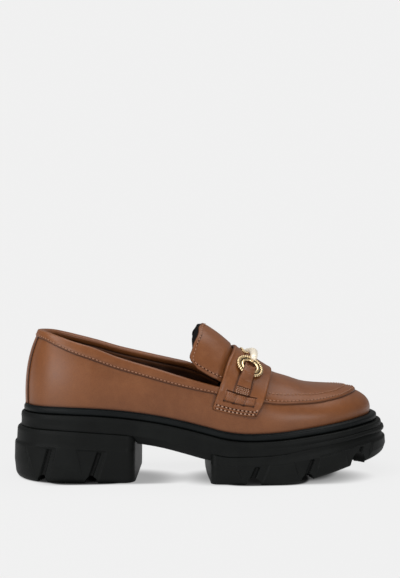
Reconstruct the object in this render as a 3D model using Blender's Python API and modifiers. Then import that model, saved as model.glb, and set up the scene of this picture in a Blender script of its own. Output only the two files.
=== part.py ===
"""Chunky lug sole loafer, one right shoe, standing empty on its sole.

Metres, +Z up, +X from the heel to the toe, +Y to the shoe's inner (medial) side.
The origin is on the floor, under the middle of the sole's own length and width.

Every curved piece comes from two functions: plan() is the outline of the last where it
meets the sole, and last() is the surface of the last above that outline.
"""

import math

import bmesh
import bpy
import numpy as np

MM = 0.001

# Driving sizes
UPPER_LENGTH = 263.6 * MM
BALL_WIDTH = 87 * MM
HEEL_OVERHANG = 8.2 * MM
SIDE_OVERHANG = 6.8 * MM
TOE_OVERHANG = 10.9 * MM
SOLE_LENGTH = UPPER_LENGTH + HEEL_OVERHANG + TOE_OVERHANG
HEEL_LIFT = 53.6 * MM
PLATFORM_LIFT = 35.0 * MM
TOE_RISE = 10.0 * MM
COLLAR_HEIGHT = 56.5 * MM
TREAD_TOE_RISE = 16.5 * MM

# Walls and clearances
GAP = 0.4 * MM
FACET_ROOM = 0.15 * MM
SEAT_GAP = 0.45 * MM
WALL = 2.2 * MM
WELT_HEIGHT = 4.6 * MM
WELT_OVERHANG = 4.2 * MM
WELT_TOE_OVERHANG = 5.5 * MM
WELT_LEDGE = 1.9 * MM
WELT_TOE_LEDGE = 0.2 * MM
MIDSOLE_TOE_REACH = 3.2 * MM
MIDSOLE_HEIGHT = 11.6 * MM
SHANK_DEPTH = 6.0 * MM
SHANK_CHAMFER = 4.5 * MM
SHANK_GAP = 0.7 * MM
SHANK_SLOPE = 2.0 * MM
INSOLE_THICKNESS = 5.0 * MM
INSOLE_GAP = 0.45 * MM
LEATHER = 1.2 * MM
SADDLE_THICKNESS = 1.9 * MM
TONGUE_THICKNESS = 2.4 * MM
BACK_STRAP_THICKNESS = 0.9 * MM
BACK_STRAP_WIDTH = 21 * MM
BINDING_THICKNESS = 1.1 * MM
BINDING_INSIDE = 7.0 * MM
BINDING_END_GAP = 0.8 * MM
BINDING_ROOM = GAP + FACET_ROOM
APRON_LIFT = GAP + FACET_ROOM
OVERLAY_LIFT = APRON_LIFT + LEATHER + GAP + FACET_ROOM

# Lugs
PANEL_DEPTH = 1.5 * MM
SLOT_DEPTH = 3.0 * MM
SLOT_WIDTH = 2.2 * MM
NOTCH_REACH = 27 * MM
NOTCH_HEIGHT = 5.2 * MM
NOTCH_CLEAR = 8.0 * MM
CHANNEL_WIDTH = 7.0 * MM
CHANNEL_DEPTH = 4.5 * MM
CORNER_RADIUS = 8.0 * MM
BREAST_SLANT = 3.5 * MM
FORE_BOW = 2.5 * MM

# Metal trim and its leather tabs
RING_RADIUS = 7.05 * MM
RING_BAND = 2.45 * MM
RING_WIRE = 1.25 * MM
BAR_RADIUS = 2.3 * MM
RING_STANDOFF = 0.6 * MM
TAB_WIDTH = 9.4 * MM
TAB_TOP_WIDTH = 7.4 * MM
TAB_RAMP = 3.0 * MM
TAB_THICKNESS = 1.5 * MM
LACE_LENGTH = 21 * MM
LACE_HEIGHT = 6.4 * MM
LACE_BED = 0.5 * MM
LACE_THICKNESS = 1.1 * MM
LACE_LOOPS = 3

# The last's outline at the feather edge, from the heel's back to the toe's tip.
# share: along UPPER_LENGTH. outer, inner: reach to each side, shares of BALL_WIDTH.
OUTLINE = (
    # share, outer, inner
    (0.000, 0.000, 0.000),
    (0.008, 0.108, 0.108),
    (0.030, 0.209, 0.209),
    (0.071, 0.292, 0.290),
    (0.144, 0.346, 0.340),
    (0.237, 0.364, 0.346),
    (0.344, 0.384, 0.336),
    (0.452, 0.424, 0.340),
    (0.560, 0.478, 0.388),
    (0.660, 0.514, 0.450),
    (0.744, 0.512, 0.486),
    (0.825, 0.470, 0.484),
    (0.894, 0.388, 0.424),
    (0.948, 0.276, 0.322),
    (0.983, 0.150, 0.188),
    (1.000, -0.022, 0.022),
)

# Heights of the sole's lines. share: along SOLE_LENGTH.
# heel: share of the drop from heel to platform. toe: share of TOE_RISE.
# band: share of MIDSOLE_HEIGHT.
FEATHER = (
    # share, heel, toe, band
    (0.000, 1.000, 0.00, 0.93),
    (0.060, 1.000, 0.00, 0.93),
    (0.137, 0.985, 0.00, 0.96),
    (0.229, 0.925, 0.00, 1.01),
    (0.318, 0.790, 0.00, 0.98),
    (0.384, 0.640, 0.00, 1.00),
    (0.442, 0.460, 0.00, 1.06),
    (0.497, 0.260, 0.00, 1.09),
    (0.550, 0.070, 0.00, 1.03),
    (0.600, 0.000, 0.00, 0.90),
    (0.646, 0.000, 0.03, 0.87),
    (0.700, 0.000, 0.14, 0.82),
    (0.750, 0.000, 0.31, 0.73),
    (0.800, 0.000, 0.48, 0.68),
    (0.860, 0.000, 0.68, 0.62),
    (0.920, 0.000, 0.87, 0.58),
    (1.000, 0.000, 1.00, 0.66),
)

# The tread's toe spring. share: along SOLE_LENGTH. lift: share of TREAD_TOE_RISE.
TREAD = (
    # share, lift
    (0.000, 0.00),
    (0.640, 0.00),
    (0.690, 0.00),
    (0.730, 0.08),
    (0.812, 0.38),
    (0.872, 0.62),
    (0.933, 0.77),
    (1.000, 1.00),
)

# The last's spine, seen from the side. share: along UPPER_LENGTH.
# height: above the feather edge at that place, share of COLLAR_HEIGHT. side: share of BALL_WIDTH.
# fullness: exponent of the section's rounding. bulge: share of WALL_BULGE.
SPINE = (
    # share, height, side, fullness, bulge
    (0.000, 1.340, 0.000, 2.35, 0.40),
    (0.150, 1.330, 0.000, 2.40, 0.70),
    (0.300, 1.330, 0.000, 2.40, 1.00),
    (0.400, 1.310, 0.000, 2.35, 1.00),
    (0.504, 1.252, 0.004, 2.25, 1.00),
    (0.549, 1.160, 0.006, 2.20, 1.00),
    (0.593, 1.012, 0.008, 2.20, 1.00),
    (0.644, 0.858, 0.010, 2.20, 1.00),
    (0.703, 0.684, 0.012, 2.25, 1.00),
    (0.755, 0.576, 0.014, 2.30, 1.00),
    (0.800, 0.478, 0.016, 2.35, 0.90),
    (0.859, 0.412, 0.018, 2.45, 0.80),
    (0.930, 0.380, 0.020, 2.60, 0.60),
    (1.000, 0.360, 0.022, 2.70, 0.50),
)
SPINE_HEEL_START = 0.270
SPINE_HEEL_END = 0.158
SPINE_TOE_START = 0.710
SPINE_TOE_END = 0.868
WALL_BULGE = 1.5 * MM

# The collar's top edge. share: along UPPER_LENGTH.
# outer, inner: height above the feather edge, shares of COLLAR_HEIGHT.
# band: depth of the sewn collar band, share of BAND_DEPTH.
BAND_DEPTH = 9.4 * MM
TOPLINE = (
    # share, outer, inner, band
    (0.000, 0.985, 0.985, 0.62),
    (0.040, 0.958, 0.968, 0.64),
    (0.083, 0.912, 0.934, 0.78),
    (0.138, 0.846, 0.882, 0.92),
    (0.191, 0.789, 0.830, 1.00),
    (0.261, 0.694, 0.760, 0.95),
    (0.315, 0.646, 0.728, 0.91),
    (0.368, 0.612, 0.706, 0.91),
    (0.421, 0.582, 0.698, 0.84),
    (0.474, 0.566, 0.694, 0.74),
    (0.515, 0.562, 0.664, 0.66),
    (0.560, 0.562, 0.618, 0.61),
)
# The faces that close the binding's ends, as corners of its folded section.
BINDING_END_FACES = (
    (0, 1, 2, 12), (12, 2, 3, 11), (11, 3, 4), (11, 4, 5, 10), (10, 5, 6), (10, 6, 7), (10, 7, 8, 9),
)
COLLAR_END = 0.560
THROAT_END = 0.625

# The tongue's free edge, from the spine down. across: share of the way down to its lower edge.
# outer, inner: its rearmost place there on each side, along UPPER_LENGTH.
TONGUE_EDGE = (
    # across, outer, inner
    (0.00, 0.500, 0.500),
    (0.20, 0.490, 0.495),
    (0.45, 0.472, 0.487),
    (0.62, 0.462, 0.481),
    (0.77, 0.457, 0.478),
    (0.89, 0.462, 0.482),
    (1.00, 0.484, 0.500),
)
# share: along UPPER_LENGTH. outer, inner: height of the tongue's lower edge, shares of COLLAR_HEIGHT.
TONGUE_HEM = (
    # share, outer, inner
    (0.440, 0.770, 0.820),
    (0.484, 0.700, 0.770),
    (0.514, 0.650, 0.735),
    (0.545, 0.622, 0.700),
    (0.580, 0.600, 0.650),
    (0.620, 0.560, 0.590),
    (0.660, 0.500, 0.510),
)

# The saddle strap. down: share of the way from the spine to the strap's end.
# rear, front: its two edges, along UPPER_LENGTH. angle: up the last's section, share of a quarter turn.
SADDLE = (
    # down, rear, front, angle
    (0.00, 0.590, 0.700, 1.000),
    (0.12, 0.586, 0.697, 0.880),
    (0.30, 0.576, 0.689, 0.700),
    (0.50, 0.561, 0.678, 0.520),
    (0.70, 0.547, 0.667, 0.365),
    (0.86, 0.533, 0.655, 0.245),
    (1.00, 0.521, 0.640, 0.145),
)

# Places down and across the saddle of the trim on it.
RING_DOWN = 0.365
RING_ACROSS = 0.46
TAB_TOP = 0.400
TAB_FOOT = 0.690
LACE_DOWN = 0.845

# The moccasin apron's seam. share: along UPPER_LENGTH.
# outer, inner: the angle up the section, share of a quarter turn.
APRON_ROOT = 0.643
APRON_SEAM = (
    # share, outer, inner
    (0.640, 0.285, 0.285),
    (0.700, 0.312, 0.312),
    (0.760, 0.342, 0.342),
    (0.810, 0.378, 0.378),
    (0.855, 0.420, 0.420),
    (0.905, 0.468, 0.468),
    (0.940, 0.518, 0.518),
    (0.975, 0.572, 0.572),
    (1.000, 0.600, 0.600),
)

# The tread blocks' sides. down: share of the block's height. out: share of its flare.
BLOCK_SIDE = (
    # down, out
    (0.00, 0.38),
    (0.04, 0.58),
    (0.27, 0.66),
    (0.31, 0.94),
    (0.66, 1.00),
    (0.94, 0.70),
    (1.00, 0.30),
)
HEEL_BREAST = 0.3185
FORE_REAR = 0.5260

# The gaps between lugs, on both sides. Shares along SOLE_LENGTH, at the top and at the foot
# of the gap's panel. slot_top, slot_foot: the slanted slot in it. crown: share of the block's
# height where the panel starts.
GAPS = (
    # block, rear_top, rear_foot, front_foot, front_top, slot_top, slot_foot, crown
    ("heel", 0.058, 0.077, 0.105, 0.125, 0.109, 0.088, 0.32),
    ("heel", 0.172, 0.192, 0.225, 0.246, 0.230, 0.202, 0.34),
    ("outsole", 0.583, 0.600, 0.638, 0.658, 0.632, 0.612, 0.28),
    ("outsole", 0.716, 0.730, 0.766, 0.781, 0.763, 0.740, 0.28),
    ("outsole", 0.846, 0.857, 0.901, 0.914, 0.885, 0.874, 0.30),
)

# Colours, linear RGB
BLACK_RUBBER = (0.012, 0.013, 0.013)
BROWN_LEATHER = (0.200, 0.078, 0.036)
BLACK_LINING = (0.010, 0.009, 0.009)
GOLD = (0.830, 0.600, 0.290)

HALF_TURN = len(OUTLINE) - 1


def spline(table, column, at):
    """A smooth curve through one column of a table, read at any place."""
    rows = np.array([row for row in table], float)
    x, y = rows[:, 0], rows[:, column]
    slope = np.gradient(y, x)
    at = np.clip(np.asarray(at, float), x[0], x[-1])
    i = np.clip(np.searchsorted(x, at) - 1, 0, len(x) - 2)
    width = x[i + 1] - x[i]
    u = (at - x[i]) / width
    return (
        y[i] * (1 + 2 * u) * (1 - u) ** 2
        + slope[i] * width * u * (1 - u) ** 2
        + y[i + 1] * u**2 * (3 - 2 * u)
        + slope[i + 1] * width * u**2 * (u - 1)
    )


def ease(low, high, at):
    """0 before low, 1 after high, and smooth between."""
    u = np.clip((np.asarray(at, float) - low) / (high - low), 0, 1)
    return u * u * (3 - 2 * u)


def outline_knots():
    """The outline's points and tangents, once round: outer side to the toe, inner side back."""
    rows = np.array(OUTLINE)
    x = rows[:, 0] * UPPER_LENGTH - SOLE_LENGTH / 2 + HEEL_OVERHANG
    outer = np.column_stack([x, -rows[:, 1] * BALL_WIDTH])
    inner = np.column_stack([x, rows[:, 2] * BALL_WIDTH])
    points = np.vstack([outer, inner[-2:0:-1]])
    count = len(points)
    matrix = 4 * np.eye(count) + np.roll(np.eye(count), 1, 0) + np.roll(np.eye(count), -1, 0)
    tangents = np.linalg.solve(matrix, 3 * (np.roll(points, -1, 0) - np.roll(points, 1, 0)))
    return points, tangents


KNOTS, TANGENTS = outline_knots()


def raw_plan(t):
    """The outline's point and outward normal at t, before it is centred."""
    t = np.asarray(t, float) % (2 * HALF_TURN)
    i = np.floor(t).astype(int)
    u = (t - i)[..., None]
    j = (i + 1) % len(KNOTS)
    p, q, m, n = KNOTS[i], KNOTS[j], TANGENTS[i], TANGENTS[j]
    point = p * (1 + 2 * u) * (1 - u) ** 2 + m * u * (1 - u) ** 2
    point = point + q * u**2 * (3 - 2 * u) + n * u**2 * (u - 1)
    along = (6 * u**2 - 6 * u) * (p - q) + m * (1 - 4 * u + 3 * u**2) + n * (3 * u**2 - 2 * u)
    along /= np.linalg.norm(along, axis=-1, keepdims=True)
    return point, np.stack([along[..., 1], -along[..., 0]], -1)


def toe_share(t):
    """0 along the heel and waist, 1 round the toe."""
    return ease(0.60, 1.0, share_at(raw_plan(t)[0][..., 0]))


def share_at(x):
    """Place along the upper, as a share of its length."""
    return (x + SOLE_LENGTH / 2 - HEEL_OVERHANG) / UPPER_LENGTH


def sole_share(x):
    """Place along the sole, as a share of its length."""
    return x / SOLE_LENGTH + 0.5


def welt_reach(t):
    return WELT_OVERHANG + (WELT_TOE_OVERHANG - WELT_OVERHANG) * toe_share(t)


def flare(t):
    """How far the tread blocks stand out past the welt."""
    heel = 1 - ease(0.0, 0.14, share_at(raw_plan(t)[0][..., 0]))
    side = SIDE_OVERHANG - WELT_OVERHANG
    return (
        side
        + (HEEL_OVERHANG - WELT_OVERHANG - side) * heel
        + (TOE_OVERHANG - WELT_TOE_OVERHANG - side) * toe_share(t)
    )


def side_shift():
    """Puts the middle of the sole's whole width on y = 0."""
    t = np.linspace(0, 2 * HALF_TURN, 721)
    point, normal = raw_plan(t)
    y = point[:, 1] + normal[:, 1] * (welt_reach(t) + flare(t))
    return -(y.min() + y.max()) / 2


SIDE_SHIFT = side_shift()


def plan(t, out=0.0):
    """The outline at t, moved outwards by out."""
    point, normal = raw_plan(t)
    point = point + normal * np.asarray(out)[..., None]
    point[..., 1] += SIDE_SHIFT
    return point


def t_at(share, inner=False):
    """The place on the outline whose base lies at this share of the upper's length."""
    t = np.linspace(0, HALF_TURN, 601)
    found = np.interp(share, share_at(raw_plan(t)[0][:, 0]), t)
    return 2 * HALF_TURN - found if inner else found


def feather_z(x):
    """Height of the line where the upper meets the sole."""
    heel = spline(FEATHER, 1, sole_share(x))
    toe = spline(FEATHER, 2, sole_share(x))
    return PLATFORM_LIFT + (HEEL_LIFT - PLATFORM_LIFT) * heel + TOE_RISE * toe


def midsole_top_z(x):
    return feather_z(x) - WELT_HEIGHT - SEAT_GAP


def midsole_foot_z(x):
    return midsole_top_z(x) - MIDSOLE_HEIGHT * spline(FEATHER, 3, sole_share(x))


def tread_z(x):
    return TREAD_TOE_RISE * np.maximum(spline(TREAD, 1, sole_share(x)), 0)


def spine_share(share):
    """Where on the spine a rib of the last ends. At the heel and toe the ribs fan out."""
    heel = np.clip((SPINE_HEEL_START - share) / SPINE_HEEL_START, 0, 1)
    toe = np.clip((share - SPINE_TOE_START) / (1 - SPINE_TOE_START), 0, 1)
    return share + SPINE_HEEL_END * heel**2 - (1 - SPINE_TOE_END) * toe**2


def last(t, angle, lift=0.0):
    """The last's surface. t: place on the outline. angle: 0 at the feather edge, 1 at the spine.
    lift: distance outside the surface."""
    t, angle = np.broadcast_arrays(np.asarray(t, float), np.asarray(angle, float))
    if np.any(lift):
        step = 1e-3
        near = np.clip(angle, 0.01, 0.96)
        along = last(t + step, near) - last(t - step, near)
        up = last(t, near + step) - last(t, near - step)
        normal = np.cross(along, up)
        normal[..., 1] *= angle < 0.999
        normal /= np.linalg.norm(normal, axis=-1, keepdims=True)
        return last(t, angle) + normal * np.asarray(lift)[..., None]
    base = plan(t)
    share = share_at(base[..., 0])
    at = spine_share(share)
    top_x = at * UPPER_LENGTH - SOLE_LENGTH / 2 + HEEL_OVERHANG
    top_y = spline(SPINE, 2, at) * BALL_WIDTH + SIDE_SHIFT
    base_z = feather_z(base[..., 0])
    top_z = feather_z(top_x) + spline(SPINE, 1, at) * COLLAR_HEIGHT
    power = 2 / spline(SPINE, 3, share)
    quarter = angle * math.pi / 2
    inwards = 1 - np.cos(quarter) ** power
    upwards = np.sin(quarter) ** power
    bulge = WALL_BULGE * spline(SPINE, 4, share) * np.sin(math.pi * np.clip(upwards / 0.75, 0, 1))
    base = plan(t, bulge)
    x = base[..., 0] + (top_x - base[..., 0]) * inwards
    y = base[..., 1] + (top_y - base[..., 1]) * inwards
    return np.stack([x, y, base_z + (top_z - base_z) * upwards], -1)


def angle_for_height(t, height):
    """The angle up the last's section at a height above the feather edge."""
    x = raw_plan(t)[0][..., 0]
    share = share_at(x)
    at = spine_share(share)
    top_x = at * UPPER_LENGTH - SOLE_LENGTH / 2 + HEEL_OVERHANG
    reach = feather_z(top_x) + spline(SPINE, 1, at) * COLLAR_HEIGHT - feather_z(x)
    part = np.clip(height / reach, 0, 1)
    return np.arcsin(part ** (spline(SPINE, 3, share) / 2)) * 2 / math.pi


def collar_height(t, inner):
    return spline(TOPLINE, 2 if inner else 1, share_at(raw_plan(t)[0][..., 0])) * COLLAR_HEIGHT


def collar_angle(t):
    """The upper's own top edge: under the collar binding, then rising to the throat."""
    t = np.asarray(t, float)
    share = share_at(raw_plan(t)[0][..., 0])
    height = np.where(t > HALF_TURN, collar_height(t, True), collar_height(t, False))
    under = angle_for_height(t, height - BINDING_ROOM - BINDING_THICKNESS)
    throat = ease(COLLAR_END, THROAT_END, share)
    return np.where(share >= THROAT_END, 1.0, under + (1 - under) * throat)


def new_object(name, mesh, material, parent):
    obj = bpy.data.objects.new(name, mesh)
    obj.data.materials.append(material)
    obj.parent = parent
    bpy.data.collections["loafer"].objects.link(obj)
    return obj


def mesh_from(name, bm, smooth_angle=35):
    """Turns a bmesh into a mesh with doubles merged, faces outwards and round faces smooth."""
    bmesh.ops.remove_doubles(bm, verts=bm.verts, dist=0.00002)
    bmesh.ops.recalc_face_normals(bm, faces=bm.faces)
    mesh = bpy.data.meshes.new(name)
    bm.to_mesh(mesh)
    bm.free()
    mesh.shade_smooth()
    mesh.set_sharp_from_angle(angle=math.radians(smooth_angle))
    return mesh


def skin(bm, rows, close=False):
    """Quads between neighbouring rows of points. close joins each row's end to its start."""
    made = [[bm.verts.new(point) for point in row] for row in rows]
    for low, high in zip(made, made[1:]):
        count = len(low)
        for i in range(count if close else count - 1):
            j = (i + 1) % count
            bm.faces.new((low[i], low[j], high[j], high[i]))
    return made


def slab(name, rings, hollow=False):
    """A closed solid from rings of points, each once round the outline. Its top and bottom are
    strips from side to side, so a ring starts on the middle line. hollow joins last ring to first."""
    bm = bmesh.new()
    made = skin(bm, rings, close=True)
    count = len(made[0])
    if hollow:
        for i in range(count):
            j = (i + 1) % count
            bm.faces.new((made[-1][i], made[-1][j], made[0][j], made[0][i]))
        return mesh_from(name, bm)
    for ring in (made[0], made[-1]):
        for i in range(count // 2):
            corners = [ring[i], ring[i + 1], ring[count - i - 1], ring[(count - i) % count]]
            bm.faces.new(list(dict.fromkeys(corners)))
    return mesh_from(name, bm)


def sheet(name, points, thickness, material, parent):
    """A leather piece: an open surface with a Solidify wall on its outer side."""
    bm = bmesh.new()
    skin(bm, points)
    obj = new_object(name, mesh_from(name, bm), material, parent)
    wall = obj.modifiers.new("wall", "SOLIDIFY")
    wall.thickness = thickness
    wall.offset = 1.0
    wall.use_even_offset = True
    return obj


def material(name, colour, roughness, metallic=0.0):
    made = bpy.data.materials.new(name)
    made.use_nodes = True
    shader = made.node_tree.nodes["Principled BSDF"]
    shader.inputs["Base Color"].default_value = (*colour, 1)
    shader.inputs["Roughness"].default_value = roughness
    shader.inputs["Metallic"].default_value = metallic
    return made


def round_outline(count, *shares):
    """Places once round the outline, from the heel's back: an even count to each side, and one at
    each share of the upper's length that has to be met."""
    side = np.linspace(0, HALF_TURN, count)
    met = [float(t_at(share)) for share in shares]
    for place in met:
        side = side[np.abs(side - place) > 0.13]
    side = np.sort(np.append(side, met))
    return np.concatenate([side, 2 * HALF_TURN - side[-2:0:-1]])


def ring_points(t, out, z):
    """A ring of points, out from the outline, at heights given by a function of x."""
    flat = plan(t, out)
    return np.column_stack([flat, np.broadcast_to(z(flat[:, 0]), len(t))])


def make_welt(leather, parent):
    """The rounded rand that rings the upper's foot, on a ledge of the midsole."""
    t = round_outline(46)
    reach = welt_reach(t) - WELT_LEDGE + (WELT_LEDGE - WELT_TOE_LEDGE) * toe_share(t)
    profile = (
        # outwards, down
        (GAP + 0 * reach, WELT_HEIGHT),
        (GAP + 0 * reach, 0.1 * MM),
        (reach - 1.4 * MM, 0.3 * MM),
        (reach, 2.0 * MM),
        (reach - 1.2 * MM, WELT_HEIGHT),
    )
    rings = [ring_points(t, out, lambda x, down=down: feather_z(x) - down) for out, down in profile]
    return new_object("welt", slab("welt", rings, hollow=True), leather, parent)


def shank_ends():
    """Where the shank starts, is at its full depth, and ends, as shares of the upper's length."""
    rear = (HEEL_BREAST - 0.5) * SOLE_LENGTH + BREAST_SLANT + SHANK_GAP
    front = (FORE_REAR - 0.5) * SOLE_LENGTH - FORE_BOW - SHANK_GAP
    return tuple(share_at(np.array([rear, rear + SHANK_SLOPE, front - SHANK_SLOPE, front])))


def make_midsole(rubber, parent):
    """The midsole band, with the shank's chamfered underside between heel and forepart."""
    t = round_outline(42, *shank_ends())
    reach = welt_reach(t) + MIDSOLE_TOE_REACH * toe_share(t)
    shank = np.interp(share_at(plan(t)[:, 0]), shank_ends(), (0, 1, 1, 0))
    profile = (
        # outwards, height at x
        (reach - 1.3 * MM, midsole_top_z),
        (reach - 0.3 * MM, lambda x: midsole_top_z(x) - 0.8 * MM),
        (reach + 0.2 * MM, lambda x: midsole_top_z(x) - 3.0 * MM),
        (reach, lambda x: midsole_foot_z(x) + 0.6 * MM),
        (reach - 0.6 * MM, midsole_foot_z),
        (reach - 0.9 * MM - SHANK_CHAMFER * shank, lambda x: midsole_foot_z(x) - SHANK_DEPTH * shank),
    )
    rings = [ring_points(t, out, z) for out, z in profile]
    return new_object("midsole", slab("midsole", rings), rubber, parent)


def block_ring(rear, front, per_side, out_share, down):
    """One ring of a tread block, with round corners where it ends under the waist."""
    start, end = t_at_sole(rear), t_at_sole(front)
    spread = np.linspace(0, 1, per_side)
    if rear > 0:
        spread = spread**1.7
    elif front < 1:
        spread = 1 - (1 - spread) ** 1.7
    t = start + (end - start) * spread
    if rear <= 0:
        both = np.concatenate([t, 2 * HALF_TURN - t[:0:-1]])
    else:
        both = np.concatenate([2 * HALF_TURN - t[::-1], t[:-1]])
    flat = plan(both, welt_reach(both) + flare(both) * out_share)
    middle = SIDE_SHIFT
    x = plan(both)[:, 0]
    if front < 1:
        room = np.clip((front - 0.5) * SOLE_LENGTH - x, 0, CORNER_RADIUS)
    else:
        room = np.clip(x - (rear - 0.5) * SOLE_LENGTH, 0, CORNER_RADIUS)
    inset = CORNER_RADIUS - np.sqrt(CORNER_RADIUS**2 - (CORNER_RADIUS - room) ** 2)
    flat[:, 1] -= np.sign(flat[:, 1] - middle) * inset
    reach = np.abs(flat[:, 1]).max()
    if front < 1:
        near = ease((front - 0.5) * SOLE_LENGTH - 5 * CORNER_RADIUS, (front - 0.5) * SOLE_LENGTH, x)
        flat[:, 0] += BREAST_SLANT * near * (flat[:, 1] / reach + 1) / 2
    else:
        near = 1 - ease((rear - 0.5) * SOLE_LENGTH, (rear - 0.5) * SOLE_LENGTH + 5 * CORNER_RADIUS, x)
        flat[:, 0] -= FORE_BOW * near * (1 - (flat[:, 1] / reach) ** 2)
    top = midsole_foot_z(flat[:, 0]) - SEAT_GAP
    foot = tread_z(flat[:, 0])
    return np.column_stack([flat, top + (foot - top) * down])


def t_at_sole(share):
    """The place on the outline at a share of the sole's length."""
    x = (share - 0.5) * SOLE_LENGTH
    return t_at(np.clip(share_at(x), 0, 1))


def cutter_from(name, bm):
    bm.normal_update()
    bmesh.ops.triangulate(bm, faces=bm.faces)
    bmesh.ops.recalc_face_normals(bm, faces=bm.faces)
    mesh = bpy.data.meshes.new(name)
    bm.to_mesh(mesh)
    bm.free()
    cutter = bpy.data.objects.new(name, mesh)
    cutter.hide_render = True
    cutter.display_type = "WIRE"
    bpy.data.collections["cutters"].objects.link(cutter)
    return cutter


def box_cutter(name, corners):
    """A cutter with eight given corners: the foot's four, then the top's four."""
    bm = bmesh.new()
    bmesh.ops.create_cube(bm, size=1)
    flat = ((-1, -1), (1, -1), (1, 1), (-1, 1))
    order = [(*place, level) for level in (-1, 1) for place in flat]
    places = dict(zip(order, corners))
    for vert in bm.verts:
        vert.co = places[tuple(int(math.copysign(1, c)) for c in vert.co)]
    return cutter_from(name, bm)


def side_cutter(name, shares, heights, depth, inner):
    """A cutter sunk into a block's side. shares: rear foot, front foot, front top, rear top.
    heights: foot and top."""
    middle = t_at_sole(sum(shares) / 4)
    places = [t_at_sole(share) for share in shares]
    if inner:
        middle = 2 * HALF_TURN - middle
        places = [2 * HALF_TURN - place for place in places]
    normal = raw_plan(middle)[1]
    outside = 6 * MM
    reach = welt_reach(middle) + flare(middle)
    made = []
    for place, z in zip(places, (heights[0], heights[0], heights[1], heights[1])):
        edge = plan(place, reach)
        made.append((edge - normal * depth, edge + normal * outside, z))
    (rf, rfo, zf), (ff, ffo, _), (ft, fto, zt), (rt, rto, _) = made
    return box_cutter(
        name,
        [(*rf, zf), (*ff, zf), (*ffo, zf), (*rfo, zf), (*rt, zt), (*ft, zt), (*fto, zt), (*rto, zt)],
    )


def notch_cutter(name, rear, front, height, inner):
    """An arched notch through a block's foot, running in towards the middle channel."""
    middle = t_at_sole((rear + front) / 2)
    if inner:
        middle = 2 * HALF_TURN - middle
    normal = raw_plan(middle)[1]
    edge = plan(middle, welt_reach(middle) + flare(middle))
    centre = edge - normal * (NOTCH_REACH - NOTCH_CLEAR) / 2
    floor = float(tread_z(edge[0]))
    bm = bmesh.new()
    bmesh.ops.create_cone(bm, cap_ends=True, segments=12, radius1=0.5, radius2=0.5, depth=1)
    width = (front - rear) * SOLE_LENGTH
    across = np.array([-normal[1], normal[0]])
    for vert in bm.verts:
        a, b, c = vert.co
        flat = centre + across * a * width + normal * c * (NOTCH_REACH + NOTCH_CLEAR)
        vert.co = (*flat, floor + b * 2 * height)
    return cutter_from(name, bm)


def channel_cutter(name, rear, front):
    """The channel down the middle of a block's foot."""
    low = -2 * MM
    corners = []
    for deep in (False, True):
        for share, side in ((rear, -1), (front, -1), (front, 1), (rear, 1)):
            x = (share - 0.5) * SOLE_LENGTH
            z = float(tread_z(x)) + CHANNEL_DEPTH if deep else low
            corners.append((x, SIDE_SHIFT + side * CHANNEL_WIDTH / 2, z))
    return box_cutter(name, corners)


def make_block(name, rear, front, per_side, rubber, parent):
    """The heel or the forepart of the tread, with its lugs."""
    rings = [block_ring(rear, front, per_side, out, down) for down, out in BLOCK_SIDE]
    obj = new_object(name, slab(name, rings), rubber, parent)
    flat = obj.modifiers.new("flat_faces", "TRIANGULATE")
    flat.min_vertices = 4
    cutters = []
    for number, gap in enumerate(row for row in GAPS if row[0] == name):
        _, rear_top, rear_foot, front_foot, front_top, slot_top, slot_foot, crown = gap
        middle = ((rear_foot + front_foot) / 2 - 0.5) * SOLE_LENGTH
        top = float(midsole_foot_z(middle)) - SEAT_GAP
        foot = float(tread_z(middle))
        panel_top = top + (foot - top) * crown
        slot_height = panel_top - 1.5 * MM
        half = SLOT_WIDTH / 2 / SOLE_LENGTH
        for inner in (False, True):
            side = "inner" if inner else "outer"
            cutters.append(side_cutter(
                f"{name}_panel_{number}_{side}",
                (rear_foot, front_foot, front_top, rear_top),
                (foot - 3 * MM, panel_top), PANEL_DEPTH, inner,
            ))
            cutters.append(side_cutter(
                f"{name}_slot_{number}_{side}",
                (slot_foot - half, slot_foot + half, slot_top + half, slot_top - half),
                (foot - 2 * MM, slot_height), SLOT_DEPTH, inner,
            ))
            cutters.append(notch_cutter(
                f"{name}_notch_{number}_{side}", rear_foot, front_foot, NOTCH_HEIGHT, inner,
            ))
    if name == "heel":
        cutters.append(channel_cutter("heel_channel", 0.045, 0.29))
    else:
        cutters.append(channel_cutter("outsole_channel", 0.56, 0.90))
    for cutter in cutters:
        cut = obj.modifiers.new(cutter.name, "BOOLEAN")
        cut.operation = "DIFFERENCE"
        cut.object = cutter
        cut.solver = "EXACT"
    return obj


def make_insole(lining, parent):
    """The sock that closes the inside, seated on the midsole."""
    t = round_outline(31)
    inset = -(WALL + INSOLE_GAP) + 0 * t
    profile = (
        # outwards, height above the midsole
        (inset, SEAT_GAP),
        (inset, SEAT_GAP + INSOLE_THICKNESS - 1.2 * MM),
        (inset - 1.4 * MM, SEAT_GAP + INSOLE_THICKNESS),
    )
    rings = [ring_points(t, out, lambda x, up=up: midsole_top_z(x) + up) for out, up in profile]
    return new_object("insole", slab("insole", rings), lining, parent)


def make_upper(leather, parent):
    """The hollow upper: vamp, quarters and heel in one wall, open at the collar and underneath."""
    rows_up = 10
    throat = np.linspace(COLLAR_END, THROAT_END, 4)
    t = round_outline(38, *throat)
    top = collar_angle(t)
    flat = plan(t)
    rows = [np.column_stack([flat, feather_z(flat[:, 0]) - WELT_HEIGHT + FACET_ROOM])]
    for step in np.linspace(0, 1, rows_up) ** 1.15:
        rows.append(last(t, top * step))
    bm = bmesh.new()
    skin(bm, rows, close=True)
    obj = new_object("upper", mesh_from("upper", bm), leather, parent)
    wall = obj.modifiers.new("wall", "SOLIDIFY")
    wall.thickness = WALL
    wall.offset = -1.0
    wall.use_even_offset = True
    return obj


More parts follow.
